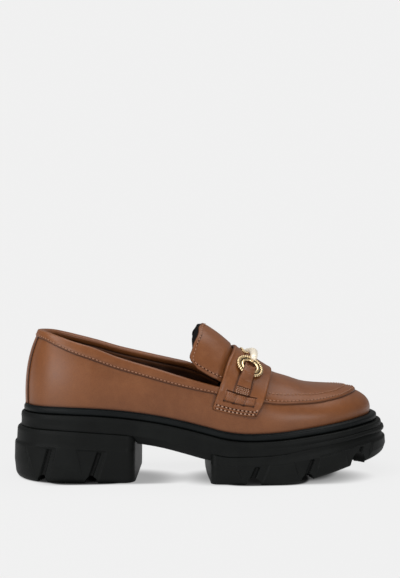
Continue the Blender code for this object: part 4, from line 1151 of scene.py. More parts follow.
def makeTab(inner):
    # a strap from the stitched tail up over the ring's band and down inside its eye, its edges
    # rolled
    point, ahead, below, out = ringFrame(inner)
    width, length = strapSize(0.5, inner)
    side = sideNames[inner]

    def place(u, v, over):
        down = bitShape["tabTop"] + (bitShape["tabFoot"] - bitShape["tabTop"]) * v
        half = tabHalf(down)
        share = saddleShape["ringAcross"] + tabLean(down) + (2 * u - 1) * half / width
        away = onSaddle(down, share, inner, 0.0) - point
        reach = np.hypot(away @ ahead, away @ below)
        clear = 2 * bitShape["wire"] + bitShape["standoff"] + 0.35 * mm - away @ out
        near = 1 - ease(2.3 * mm, 6.5 * mm, np.abs(reach - 7.7 * mm))
        lift = 0.15 * mm + np.clip(clear, 0, None) * near
        drop = 1 - ease(0.0, 0.085, v)
        edge = np.minimum(np.minimum(u, 1 - u) * 2 * half, (1 - v) * length * 0.3)
        puff = 0.35 * mm * np.sin(math.pi * u) ** 0.8
        face = (bitShape["tabThickness"] + puff) * rolled(edge, bitShape["tabRoll"])
        return onSaddle(down, share, inner, lift * (1 - drop) - 0.6 * mm * drop + face * over)

    def tone(u, v):
        # painted shade: dark along the sides and the lower end (dyed edge and shade) and at the
        # upper end where it goes into the hollow; the tail uses the same
        aside, end = np.minimum(u, 1 - u) * 9 * mm, (1 - v) * 20 * mm
        rims = 0.8 * bell(aside, 0.35 * mm) + 0.8 * bell(end, 0.35 * mm)
        return np.clip(rims + 0.7 * bell(v * 20 * mm, 0.5 * mm), 0, 1)

    first, rest = np.linspace(0, 0.10, 14)[:-1], np.linspace(0.95, 1, 8)[1:]
    rows = np.concatenate([first, np.linspace(0.10, 0.95, 60), rest])
    columns = edgeSteps(26, 9 * mm, bitShape["tabRoll"])
    patchPiece("ring_tab_" + side + "_leather", place, tone, rows, columns, strapLeather,
               "strap_leather", ("ring_tab_" + side,))

    def tail(u, v, over):
        top = bitShape["tabFoot"] - 0.025
        down = top + (bitShape["tailFoot"] - bitShape["tabFoot"] + 0.025) * v
        half = bitShape["tabWidth"] / 2 + 0.2 * mm
        share = saddleShape["ringAcross"] + tabLean(down) + (2 * u - 1) * half / width
        edge = np.minimum(np.minimum(u, 1 - u) * 2 * half, (1 - v) * 6 * mm)
        return onSaddle(down, share, inner, 0.02 * mm + 0.85 * mm * rolled(edge, 0.5 * mm) * over)

    patchPiece("ring_tab_" + side + "_tail", tail, tone, np.linspace(0, 1, 30), columns,
               strapLeather, "strap_leather")


makeUpper()
makeInnerLining()
print("upper and lining are made")
makeSaddle()
for inner in (False, True):
    makePatch(inner)
    makeRing(inner)
    makeTab(inner)
makeBar()
print("saddle, woven patches, bit and tabs are made")


# the tongue
tongueShape = {
    "root": 0.650, "lift": 0.55 * mm, "thickness": 1.6 * mm, "lining": 0.8 * mm, "roll": 0.8 * mm,
    "long": 45 * mm, "deep": 48 * mm, "wave": 0.0012, "underStrap": 0.35 * mm, "ripple": 0.22 * mm,
    "stitch": 2.4 * mm,
    # across: share of the way down to the lower edge; rearmost place of the leather outside and
    # inside, and how far the black lining stands past it
    "edge": [
        (0.00, 0.5000, 0.5000, 0.002), (0.12, 0.4970, 0.4985, 0.004), (0.30, 0.4890, 0.4950, 0.007),
        (0.45, 0.4845, 0.4920, 0.010), (0.605, 0.4790, 0.4890, 0.010),
        (0.71, 0.4715, 0.4850, 0.003), (0.80, 0.4655, 0.4820, -0.002),
        (0.87, 0.4610, 0.4810, -0.002), (0.92, 0.4605, 0.4810, -0.002),
        (0.95, 0.4645, 0.4850, -0.003), (1.00, 0.4820, 0.5000, -0.004),
    ],
    # share of the upper's length, height of the lower edge outside and inside
    "hem": [
        (0.440, 0.770, 0.820), (0.484, 0.700, 0.770), (0.514, 0.650, 0.735), (0.545, 0.622, 0.700),
        (0.580, 0.600, 0.650), (0.620, 0.560, 0.590), (0.660, 0.500, 0.510),
    ],
}


def onTongue(across, step, inner, lift, beyond=0.0):
    # across: 0 at the spine, 1 at the lower edge. step: 0 at the free rear edge, 1 under the strap.
    # lift: a height, or one worked out from how free the place is. beyond: 1 for the lining, which
    # stands past the leather where its table says so
    column = 2 if inner else 1
    rear, past = (curveThrough(tongueShape["edge"], place, across) for place in (column, 3))
    wave = tongueShape["wave"] * np.sin(across * 17 + float(inner)) * ease(0.04, 0.2, across)
    rear = rear - beyond * past + wave * (1 - ease(0.8, 1, across))
    share = rear + (tongueShape["root"] - rear) * step
    t = tAt(share, inner)
    hem = curveThrough(tongueShape["hem"], column, share) * lastShape["collarHeight"]
    hem = angleForHeight(t, hem)
    angle = hem + (1 - hem) * (1 - across)
    strapRear = np.interp(angle, *np.array(saddleShape["edges"])[::-1, [3, 1]].T)
    free = 1 - ease(strapRear - 0.011, strapRear - 0.001, share)
    return last(t, angle, lift(free) if callable(lift) else lift)


def tongueForm(across, step, ripple):
    # a soft ripple near the rear edge, and a crown between the edges
    wave = ripple * np.sin(across * 13 + step * 5) * (1 - ease(0.0, 0.6, step))
    over, down = (np.sin(math.pi * np.clip(at, 0, 1)) for at in (step, across))
    return wave * ease(0.1, 0.35, across) + 0.6 * mm * over * down ** 0.6


def makeTongue():
    # the same strips as the upper over the instep, thicker where free, its free edges rolled over
    long, deep, roll = tongueShape["long"], tongueShape["deep"], tongueShape["roll"]
    steps, down = (edgeSteps(60, 2 * size, roll) for size in (long, deep))
    middle = 0.5000001
    across, step = np.meshgrid(1 - down[down <= middle] * 2, steps[steps <= middle] * 2)
    edge = np.minimum(step * long, (1 - across) * deep)
    form = tongueForm(across, step, tongueShape["ripple"])
    stitched = bell(edge - tongueShape["stitch"], 0.6 * mm)
    seat, under = tongueShape["lift"] + tongueShape["lining"], tongueShape["underStrap"]

    def join(outer, inner):
        return np.concatenate([outer, inner[:, -2::-1]], axis=1)

    def surface(high, low, padded=False, beyond=0.0):
        # one surface of the tongue: its height where it is free, and its height under the strap
        def lift(free):
            level = high * free + low * (1 - free) + form * free
            if not padded:
                return level
            thick = tongueShape["thickness"] * (0.35 + 0.65 * free)
            return level - 0.12 * mm * stitched * free + thick * rolled(edge, roll)
        return join(*(onTongue(across, step, inner, lift, beyond) for inner in (False, True)))

    # painted shade: dark at the rolled free edges (dyed edge and shade) and along the stitch row
    tone = np.clip(0.8 * np.exp(-edge / (0.3 * mm)) + 0.12 * stitched, 0, 1)
    tone = join(tone, tone)
    closedSlab("tongue_leather", surface(seat, under, padded=True), surface(seat, under), tone,
               leather, "upper_leather", ("tongue",))
    closedSlab("tongue_lining", surface(seat - 0.04 * mm, 0.3 * mm, beyond=1.0),
               surface(tongueShape["lift"], 0.1 * mm, beyond=1.0), tone, lining, "lining")


makeTongue()
print("tongue is made")


# the strip down the heel and the collar band
backShape = {"width": 21 * mm, "thickness": 1.2 * mm, "roll": 0.8 * mm}
bandShape = {
    "thickness": 1.15 * mm, "lift": 0.45 * mm, "inside": 14.0 * mm, "puff": 0.60 * mm,
    "puffWidth": 8 * mm, "roll": 1.3 * mm, "wall": 2.2 * mm, "stitch": 1.3 * mm, "columns": 400,
    "wrinkle": 0.35 * mm, "insideSeam": 5.5 * mm,
}


def makeBackStrap():
    # up the heel between two edges that run beside the middle line
    t = np.linspace(0, 3, 61)
    edgeT = float(np.interp(backShape["width"] / 2, np.linalg.norm(plan(t) - plan(0.0), axis=1), t))
    columns = edgeSteps(30, backShape["width"], backShape["roll"])

    def place(u, v, over):
        t = (2 * u - 1) * edgeT
        top = angleForHeight(t, collarHeightAt(np.abs(t)) - bandDepthAt(t) + 1.2 * mm)
        edge = np.minimum(u, 1 - u) * backShape["width"]
        face = backShape["thickness"] * rolled(edge, backShape["roll"])
        face = face - 0.12 * mm * bell(edge - 1.9 * mm, 0.6 * mm)
        return last(t, 0.004 + (top - 0.004) * v, 0.05 * mm + face * over)

    def tone(u, v):
        # dark along both edges: dyed edge and painted shade
        return np.clip(0.9 * bell(np.minimum(u, 1 - u) * backShape["width"], 0.5 * mm), 0, 1)

    patchPiece("back_strip_leather", place, tone, np.linspace(0, 1, 60), columns, leather,
               "upper_leather", ("back_strap",))


def bandSpan():
    # from under the strap on the outer side, round the heel, to under the strap on the inner side
    ends = [float(tAt(lastShape["collarEnd"] + 0.004, inner)) for inner in (False, True)]
    return ends[0], ends[1] - 2 * halfTurn


def bandFace(up):
    # height of the band's outer face, up mm from its lower edge: a rolled edge, a seam dip and a
    # soft puff
    puff = bandShape["puff"] * np.sin(math.pi * np.clip(up / bandShape["puffWidth"], 0, 1)) ** 0.8
    face = bandShape["thickness"] * rolled(up, 0.7 * mm) + puff
    return bandShape["lift"] + face - 0.16 * mm * bell(up - bandShape["stitch"], 0.6 * mm)


def makeBand():
    # a folded section carried round the collar: up the outside, over a rounded edge, down the
    # inside
    start, end = bandSpan()
    place = np.linspace(0, 1, bandShape["columns"])
    t = start + (end - start) * place
    inside = -(bandShape["wall"] + bandShape["lift"])
    thick, low, deep = bandShape["thickness"], bandShape["roll"], bandShape["inside"]
    depth, height = bandDepthAt(t), collarHeightAt(t)
    ripple = bandShape["wrinkle"] * np.sin(place * 160 + 1.7 * np.sin(place * 37))
    # tones: dark at the lower edge (dyed edge and painted shade), faint at the stitch row, dark at
    # the inside seam, painted shade deepening down the inside, the hidden faces half dark
    section, tones = [], []  # height below the edge and lift off the last, darkness
    for part in np.concatenate([[0, 0.01, 0.03, 0.06, 0.09, 0.13, 0.18, 0.24],
                                np.linspace(0.3, 1, 12)]):
        up = (depth - low) * part
        section.append((up - depth, bandFace(up)))
        tones.append(bell(up.mean(), 0.5 * mm)
                     + 0.15 * bell(up.mean() - bandShape["stitch"], 0.6 * mm))
    top = bandFace(bandShape["puffWidth"])
    middle, half = (top + inside - thick) / 2, (top - inside + thick) / 2
    for turn in np.linspace(0, math.pi, 13)[1:-1]:
        section.append((-low + low * np.sin(turn), middle + half * np.cos(turn)))
        tones.append(0.0)
    for part in np.linspace(0, 1, 26):
        down = low + (deep - low) * part
        seam = bell(down - bandShape["insideSeam"], 0.7 * mm)
        soft = 0.5 * mm * np.sin(math.pi * np.clip(down / bandShape["insideSeam"], 0, 1))
        soft = soft + ripple * ease(0.45, 0.8, part) * (1 - ease(0.85, 1, part))
        section.append((-down, inside - thick * (1 - 0.75 * part) - soft + 0.5 * mm * seam))
        tones.append(0.8 * seam + 0.25 * ease(0.0, 0.3, part) + 0.70 * ease(0.34, 0.62, part))
    for part in np.linspace(1, 0, 26):
        section.append((-low - (deep - low) * part, inside + 0.1 * mm))
    for turn in np.linspace(math.pi, 0, 13)[1:-1]:
        rise = 0.5 * low * np.sin(turn)
        section.append((-low - 0.6 * mm + rise, middle + (half - thick) * np.cos(turn)))
    for part in np.linspace(1, 0, 20):
        section.append((-depth + (depth - low) * part, bandShape["lift"] * 0.5))
    tones += [0.5] * (len(section) - len(tones))
    columns = [last(t, angleForHeight(t, height + up), lift + 0 * t + 1e-9) for up, lift in section]
    points = np.stack(columns, 1)
    count = points.shape[1]
    faces = [gridFaces(len(t), count, wrapColumns=True)]
    pair = np.arange(count // 2 - 1)
    for row in (0, (len(t) - 1) * count):
        cap = np.column_stack([pair, pair + 1, count - 2 - pair, count - 1 - pair]) + row
        faces.append(cap if row else cap[:, ::-1])
    tone = np.clip(np.broadcast_to(tones, (len(t), count)), 0, 1)
    addPiece("collar_band_leather", points, faces, leather, "upper_leather", ("collar_binding",),
             tone=tone.ravel())


def bandPath(up):
    # a line round the collar, up from the band's lower edge
    start, end = bandSpan()
    t = start + (end - start) * np.linspace(0.004, 0.996, 500)
    angle = angleForHeight(t, collarHeightAt(t) - bandDepthAt(t) + up)
    return liftedPath(lambda lift: last(t, angle, lift), bandFace(up) + 0.02 * mm)


makeBackStrap()
makeBand()
print("collar band and back strip are made")


# stitches
# pitch, thickness and hole size of each row, mm
stitchShape = {
    "apron": (2.9, 0.38, 0.42), "apron_upper": (2.9, 0.40, 0.08), "collar": (2.7, 0.30, 0.42),
    "tongue": (2.9, 0.34, 0.50), "strap": (2.7, 0.62, 0.56), "tab": (1.5, 0.50, 0.42),
}


def strapPath(down, share, inner, lift=0.0):
    # a line over the strap
    return liftedPath(lambda high: onSaddle(down, share, inner, high), lift)


def tonguePath(distance):
    # a line inside the tongue's rear edge and down its lower edges until the strap covers it
    rear, hem = distance / tongueShape["long"], 1 - distance / tongueShape["deep"]
    height = tongueShape["lift"] + tongueShape["lining"] + tongueShape["thickness"]
    step = np.concatenate([np.linspace(0.62, rear, 40), np.full(60, rear)])
    across = np.concatenate([np.full(40, hem), np.linspace(hem, 0.0, 60)])
    corner = slice(34, 46)
    for line in (step, across):
        smooth = np.convolve(np.pad(line, 4, "edge"), np.ones(9) / 9, "valid")
        line[corner] = smooth[corner]
    lift = height + tongueForm(across, step, 0.5 * mm) - 0.1 * mm
    return [liftedPath(lambda high: onTongue(across, step, inner, high), lift)
            for inner in (False, True)]


def makeStitches():
    # each row is a path on its piece's face; capsules lie along it with dark needle holes between
    # them
    face = apronShape["lift"] + apronShape["thickness"]
    groups = {
        "apron": [seamPath(1.9 * mm, face - 0.02 * mm, 0.652, 260)],
        "apron_upper": [seamPath(7.6 * mm, face + 0.06 * mm, 0.652, 240)],
        "collar": [bandPath(bandShape["stitch"])], "tongue": tonguePath(2.2 * mm), "strap": [],
        "tab": [],
    }
    seat = saddleShape["lift"] + saddleShape["thickness"] - saddleShape["face"]
    for inner in (False, True):
        share = np.linspace(0.06, 0.95, 60)
        for away in saddleShape["stitchRows"]:
            down = np.full(60, 1 - away / saddleShape["long"])
            groups["strap"].append(strapPath(down, share, inner, seat + 0.12 * mm))
        side = 1 - saddleShape["sideRow"] / saddleShape["wide"]
        groups["strap"].append(strapPath(np.linspace(0.90, 0.945, 12), side, inner,
                                         seat + 0.1 * mm))
        half = bitShape["tabRowHalf"] / strapSize(0.74, inner)[0]
        for row, down in enumerate(bitShape["tabRows"]):
            middle = saddleShape["ringAcross"] + tabLean(down) + (row % 2) * 0.012
            share = np.linspace(middle - half, middle + half - 0.012, 60)
            groups["tab"].append(strapPath(np.full(60, down), share, inner, 0.84 * mm))
    for name, paths in groups.items():
        pitch, thick, hole = (size * mm for size in stitchShape[name])
        colour = paleThread if name in ("strap", "tab") else thread
        addPiece("stitches_" + name, *capsuleRows(paths, pitch * 0.70, pitch, thick, 0.3 * mm),
                 colour, weld=0.002 * mm)
        addPiece("needle_holes_" + name, *holeRows(paths, pitch, hole), holeShade, weld=0.002 * mm)


makeStitches()
print("stitches are made")


# the rand, the midsole and the sock
def capFaces(count, first, flip):
    # strips from side to side over a ring that starts on the middle line
    i = np.arange(1, count // 2 - 1)
    quads = np.column_stack([i, i + 1, count - i - 1, count - i])
    ends = np.array([[0, 1, count - 1], [count // 2 - 1, count // 2, count // 2 + 1]])
    made = [quads + first, ends + first]
    return [block[:, ::-1] for block in made] if flip else made


def cappedRings(rings):
    # points and faces of a stack of such rings, closed at both ends
    points = np.stack(rings)
    rows, count = points.shape[:2]
    faces = [gridFaces(rows, count, wrapColumns=True)]
    return points, faces + capFaces(count, 0, True) + capFaces(count, (rows - 1) * count, False)


randShape = {
    "columns": 260, "rings": 34,
    # out from the upper (1 is the full reach, then mm), down mm
    "section": [
        (0.0, 0.35, 4.6), (0.0, 0.30, 2.0), (0.0, 0.30, -0.25), (0.0, 0.75, -0.45),
        (0.45, 0.40, -0.30), (1.0, -1.30, 0.05), (1.0, -0.45, 0.65), (1.0, -0.05, 1.60),
        (1.0, 0.0, 2.50), (1.0, -0.15, 3.70), (1.0, -0.50, 4.35), (1.0, -1.30, 4.62),
    ],
}


def makeRand():
    # the section carried round the outline, its rings at even steps along the section
    t = evenRing(randShape["columns"])
    reach = weltReach(t) - (1.9 - 1.7 * toeShare(t)) * mm
    full, out, down = np.array(randShape["section"]).T
    along = np.concatenate([[0], np.cumsum(np.hypot(np.diff(out + full * 4.2), np.diff(down)))])
    table = np.column_stack([along, full, out, down])
    rings = []
    for at in np.linspace(0, along[-1], randShape["rings"]):
        full, out, down = (float(curveThrough(table, column, at)) for column in (1, 2, 3))
        rings.append(ringPoints(t, reach * np.clip(full, 0, 1) + out * mm,
                                lambda x: featherZ(x) - down * mm))
    faces = gridFaces(len(rings), len(t), wrapRows=True, wrapColumns=True)
    addPiece("rand_rubber", np.stack(rings), faces, weltRubber, "welt_rubber", ("welt",))


midsoleShape = {
    "columns": 300, "toeReach": 3.2 * mm, "depth": 6.0 * mm, "chamfer": 4.5 * mm,
    # shares of the sole's length where the heel ends and the forepart starts
    "breast": 0.3185, "foreRear": 0.5260,
    # out and down from the band's top edge, mm
    "lip": [(-2.6, 0.0), (-1.6, 0.02), (-0.9, 0.22), (-0.45, 0.62), (-0.2, 1.1), (-0.02, 1.8),
            (0.15, 2.6)],
    # share of the band's height, out mm, how much further out at the toe, mm
    "side": [(0.0, 0.20, 0), (0.22, 0.05, 0), (0.34, 0.0, 0.1), (0.42, 0.0, 1.5), (0.5, -0.05, 1.8),
             (0.75, 0.0, 2.0), (1.0, 0.1, 2.1)],
    # out and up from the band's foot, mm
    "foot": [(0.05, 0.45), (-0.10, 0.15), (-0.35, 0.02), (-1.2, 0.0)],
}


def shankEnds():
    # where the shank's chamfer starts, is full, is still full and ends
    rear = soleX(midsoleShape["breast"]) - 1.0 * mm
    front = soleX(midsoleShape["foreRear"]) + 0.6 * mm
    return shareAt(np.array([rear, rear + 2 * mm, front - 2 * mm, front]))


def makeMidsole():
    # rings down the band's side, with a lip at its top edge, then in under the waist's chamfered
    # shank
    t = evenRing(midsoleShape["columns"])
    toe = toeShare(t)
    reach = weltReach(t) + midsoleShape["toeReach"] * toe
    shank = np.interp(shareAt(plan(t)[:, 0]), shankEnds(), (0, 1, 1, 0))

    def sideZ(x, part):
        return midsoleTopZ(x) - 3.2 * mm - (midsoleTopZ(x) - midsoleFootZ(x) - 4.4 * mm) * part

    rings = []
    for out, down in midsoleShape["lip"]:
        rings.append(ringPoints(t, reach + out * mm, lambda x: midsoleTopZ(x) - down * mm))
    for part, out, ledge in midsoleShape["side"]:
        rings.append(ringPoints(t, reach + (out + ledge * toe) * mm, lambda x: sideZ(x, part)))
    for out, up in midsoleShape["foot"]:
        rings.append(ringPoints(t, reach + (out + 2.0 * toe) * mm,
                                lambda x: midsoleFootZ(x) + up * mm))
    for part in (0.25, 0.5, 0.75, 0.92, 1.0):
        chamfer = midsoleShape["chamfer"] + 0.6 * mm * (part > 0.95)
        inset = reach - 1.2 * mm - chamfer * shank * part
        drop = midsoleShape["depth"] * shank * part ** 0.85
        rings.append(ringPoints(t, inset, lambda x: midsoleFootZ(x) - drop))
    addPiece("midsole_rubber", *cappedRings(rings), rubber, "sole_rubber", ("midsole",), sharp=50)


# inset and height over the midsole's top, mm
sockShape = {
    "columns": 150,
    "section": [(2.75, 0.5), (2.7, 3.9), (2.9, 4.6), (3.4, 5.1), (4.4, 5.5), (7.0, 5.75)],
}


def makeSock():
    # a cushion with a rounded rim on the midsole's top
    t = evenRing(sockShape["columns"])
    rings = [ringPoints(t, -inset * mm, lambda x: midsoleTopZ(x) + up * mm)
             for inset, up in sockShape["section"]]
    sock = addPiece("padded_sock", *cappedRings(rings), sockLeather, "lining", ("insole",))


makeRand()
makeMidsole()
makeSock()
print("rand, midsole and sock are made")


# the lugged heel and forepart
lugShape = {
    "panel": 1.0 * mm, "slot": 3.0 * mm, "slotWidth": 2.8 * mm, "slotTop": 1.5 * mm,
    "notchReach": 27 * mm, "notchHeight": 5.2 * mm, "toeNotch": 1.85, "channelWidth": 7.0 * mm,
    "channelDepth": 4.5 * mm, "channel": {"heel": (0.045, 0.29), "outsole": (0.56, 0.90)},
    "corner": {"heel": 8.0 * mm, "outsole": 4.0 * mm}, "bendReach": 40 * mm, "slant": 5.2 * mm,
    # endTone: painted shade in the slots and on the blocks' straight end faces
    "foreSlant": 3.0 * mm, "bow": 2.5 * mm, "clearance": 0.12 * mm, "endTone": 0.7,
    # how much further out the blocks stand at the back of the heel and at the toe, and their top at
    # the toe
    "heelStand": 1.0 * mm, "toeStand": 1.0 * mm, "toeTop": 2.0 * mm, "soft": 0.45 * mm,
    "edge": 0.6 * mm, "rows": 50, "across": 84, "sipe": 0.7 * mm, "sipePitch": 5.5 * mm,
    # share of the block's height, share of its flare
    "side": {
        "heel": [(0.00, 0.30), (0.02, 0.48), (0.05, 0.58), (0.26, 0.66), (0.285, 0.72)],
        "outsole": [(0.00, 0.05), (0.05, 0.14), (0.16, 0.46), (0.24, 0.64), (0.285, 0.74)],
    },
    "sideFoot": [(0.31, 0.92), (0.34, 0.95), (0.66, 1.00), (0.90, 0.80), (0.95, 0.66), (0.98, 0.48),
                 (1.00, 0.24)],
    # shares of the sole's length: rear top, rear foot, front foot, front top, slot top, slot foot;
    # crown
    "gaps": {
        "heel": [(0.058, 0.077, 0.105, 0.125, 0.109, 0.088, 0.32),
                 (0.172, 0.192, 0.225, 0.246, 0.230, 0.202, 0.34)],
        "outsole": [(0.583, 0.600, 0.638, 0.658, 0.632, 0.612, 0.28),
                    (0.716, 0.730, 0.766, 0.781, 0.763, 0.740, 0.28),
                    (0.838, 0.849, 0.900, 0.914, 0.885, 0.872, 0.30)],
    },
}


def between(low, high, soft, at):
    # 1 between two values, 0 outside, with soft edges
    return ease(low - soft, low + soft, at) * (1 - ease(high - soft, high + soft, at))


def notchRise(x, y, gaps):
    # an arch along each notch, from the side in towards the middle
    rise = np.zeros(np.broadcast(x, y).shape)
    for _, rearFoot, frontFoot, _, _, _, _ in gaps:
        for inner in (False, True):
            middle = float(tAtSole((rearFoot + frontFoot) / 2))
            middle = otherSide(middle) if inner else middle
            normal = rawPlan(middle)[1]
            edge = plan(middle, weltReach(middle) + flare(middle))
            inwards = -((x - edge[0]) * normal[0] + (y - edge[1]) * normal[1])
            aside = -(x - edge[0]) * normal[1] + (y - edge[1]) * normal[0]
            half = (frontFoot - rearFoot) * soleLength / 2
            arch = np.sqrt(np.clip(1 - (aside / half) ** 2, 0, 1))
            reach = lugShape["notchReach"]
            fade = 1 - ease(reach - 1.0 * mm, reach + 0.6 * mm, inwards)
            height = lugShape["notchHeight"] * (lugShape["toeNotch"] if rearFoot > 0.8 else 1.0)
            rise = np.maximum(rise, height * arch * fade * (inwards > -12 * mm))
    return rise


def channelRise(x, y, rear, front):
    # the channel down the middle of the foot
    half, edge = lugShape["channelWidth"] / 2, lugShape["edge"]
    across = 1 - ease(half - edge, half + edge, np.abs(y - sideShift))
    return lugShape["channelDepth"] * across * between(soleX(rear), soleX(front), edge, x)


def blockTopZ(x):
    # the blocks' top, just below the midsole's foot
    return midsoleFootZ(x) - lugShape["clearance"]


def makeBlock(name, rear, front, sideCount, endCount, pieceName):
    # the side: the outline moved out by a stepped profile, less soft-edged panels and slots; the
    # foot: strips from side to side, raised into notches and a channel
    atHeel = name == "heel"
    gaps, corner, soft = lugShape["gaps"][name], lugShape["corner"][name], lugShape["soft"]
    limit = soleX(front if atHeel else rear)
    profile = np.array(lugShape["side"][name] + lugShape["sideFoot"]).T
    spread = np.linspace(0, 1, lugShape["rows"])[:, None]
    t = np.linspace(float(tAtSole(rear)), float(tAtSole(front)), 4001)
    along = lengthAlong(plan(t))
    turns = np.interp(np.linspace(0, along[-1], sideCount), along, t)
    turns = turns if atHeel else turns[::-1]

    def ringAt(turn, out):
        # the outline moved out, its two corners at the block's straight end rounded
        flat, x = plan(turn, weltReach(turn) + out), plan(turn)[..., 0]
        room = np.clip(limit - x if atHeel else x - limit, 0, corner)
        inset = corner - np.sqrt(corner ** 2 - (corner - room) ** 2)
        flat[..., 1] -= np.sign(flat[..., 1] - sideShift) * inset
        return flat

    def bend(flat, x, reach):
        # the straight end slants, and the forepart's is bowed as well
        if atHeel:
            near = ease(limit - lugShape["bendReach"], limit, x)
            flat[..., 0] += lugShape["slant"] * near * (flat[..., 1] / reach + 1) / 2
        else:
            near = 1 - ease(limit, limit + lugShape["bendReach"], x)
            flat[..., 0] -= lugShape["bow"] * near * (1 - (flat[..., 1] / reach) ** 2)
            flat[..., 0] -= lugShape["foreSlant"] * near * (1 - flat[..., 1] / reach) / 2
        return flat

    def halfSide(turn):
        # one side's points row by row, their heights and darkness, and the block's reach from the
        # middle
        x = plan(turn)[..., 0]
        toe = toeShare(turn)
        stand = lugShape["heelStand"] * bell(shareAt(x), 0.10) + lugShape["toeStand"] * toe
        full = flare(turn) + stand
        flat = ringAt(turn, full)
        reach = np.abs(flat[:, 1]).max()
        flat = bend(flat, x, reach)
        top, foot = blockTopZ(flat[:, 0]), treadZ(flat[:, 0])
        raised = foot + notchRise(flat[:, 0], flat[:, 1], gaps)
        z = top + (raised - top) * spread
        share = np.clip((top - z) / (top - foot), 0, 1)
        out = full * np.interp(share, *profile)
        out = out + lugShape["toeTop"] * toe * (1 - ease(0.0, 0.3, share))
        tone = np.zeros_like(z)
        for rearTop, rearFoot, frontFoot, frontTop, slotTop, slotFoot, crown in gaps:
            panelTop = top + (foot - top) * crown
            rise = np.clip((z - foot) / (panelTop - foot), 0, 1.2)
            left = rearFoot + (rearTop - rearFoot) * rise
            right = frontFoot + (frontTop - frontFoot) * rise
            mask = between(left, right, soft / soleLength, soleShare(x))
            mask = mask * (1 - ease(panelTop - soft, panelTop + soft, z))
            out = out + (np.minimum(out, full - lugShape["panel"]) - out) * mask
            aside = np.abs(soleShare(x) - slotFoot - (slotTop - slotFoot) * rise) * soleLength
            half = lugShape["slotWidth"] / 2
            slot = 1 - ease(half - soft, half + soft, aside)
            slotEnd = panelTop - lugShape["slotTop"]
            slot = slot * (1 - ease(slotEnd - 0.4 * mm, slotEnd + 0.4 * mm, z))
            out = out + (np.minimum(out, full - lugShape["slot"]) - out) * slot
            # painted shade in the slot
            tone = np.maximum(tone, lugShape["endTone"] * slot)
        rings = np.stack([ringAt(turn, row) for row in out])
        return bend(rings, x, reach), z, tone, reach

    near, far = halfSide(turns), halfSide(otherSide(turns))
    reach = max(near[3], far[3])
    start, end = near[0][:, -1], far[0][:, -1]
    face = start[:, None] + (end - start)[:, None] * np.linspace(0, 1, endCount)[None, 1:-1, None]
    if not atHeel:
        bow = (1 - (face[..., 1] / reach) ** 2) - (1 - (end[:, 1] / reach) ** 2)[:, None]
        face[..., 0] -= lugShape["bow"] * bow
    top = blockTopZ(face[..., 0])
    faceZ = top + (treadZ(face[..., 0]) - top) * spread
    middle = (face, faceZ, np.full(faceZ.shape, lugShape["endTone"]))
    flat, z, tone = (
        np.concatenate([one, two, three[:, ::-1]], axis=1)[:, :-1]
        for one, two, three in zip(near, middle, far))
    sideGrid = np.concatenate([flat, z[..., None]], -1)
    bottom, rise = footGrid(name, sideGrid[-1], gaps)
    points = np.vstack([sideGrid.reshape(-1, 3), bottom.reshape(-1, 3)])
    rows, columns = z.shape
    faces = [gridFaces(rows, columns, wrapColumns=True),
             gridFaces(*rise.shape, first=rows * columns)]
    faces += capFaces(columns, 0, True)
    # painted shade: the end face dark, the foot darker where it rises into the notches and the
    # channel
    addPiece(pieceName, points, faces, rubber, "sole_rubber", (name,), weld=0.02 * mm, sharp=42,
             tone=np.concatenate([tone.ravel(), np.clip(rise / (6 * mm), 0, 0.6).ravel()]))


def footGrid(name, ring, gaps):
    # strips across the foot between the ring's two sides: the tread's height, raised by the
    # notches, the channel and fine wavy sipes, meeting the ring at its own height
    index = np.arange(len(ring) // 2 + 1)
    partner = (len(ring) - index) % len(ring)
    even = np.linspace(0, 1, lugShape["across"])
    weight = (1 - np.cos(math.pi * even)) / 2 * 0.25 + even * 0.75
    way = ring[partner] - ring[index]
    bottom = ring[index][:, None] + way[:, None] * weight[None, :, None]
    x, y = bottom[..., 0], bottom[..., 1]
    notches = notchRise(x, y, gaps)
    rise = np.maximum(notches, channelRise(x, y, *lugShape["channel"][name]))
    inside = np.minimum(weight, 1 - weight)[None] * np.linalg.norm(way, axis=1)[:, None]
    wave = np.sin((x * 0.9 + np.abs(y - sideShift) * 0.45) * 2 * math.pi / lugShape["sipePitch"])
    sipes = lugShape["sipe"] * ease(0.80, 0.97, wave) * ease(4 * mm, 6 * mm, inside)
    level = treadZ(x) + np.maximum(rise, sipes * (rise < 0.2 * mm))
    rimLevel = treadZ(x) + notches
    bottom[..., 2] = rimLevel + (level - rimLevel) * ease(0.0, 2.2 * mm, inside)
    bottom[:, 0, 2], bottom[:, -1, 2] = ring[index, 2], ring[partner, 2]
    return bottom, rise


makeBlock("heel", 0.0, midsoleShape["breast"], 190, 62, "heel_lugs")
makeBlock("outsole", midsoleShape["foreRear"], 1.0, 285, 82, "forepart_lugs")
print("tread is made")


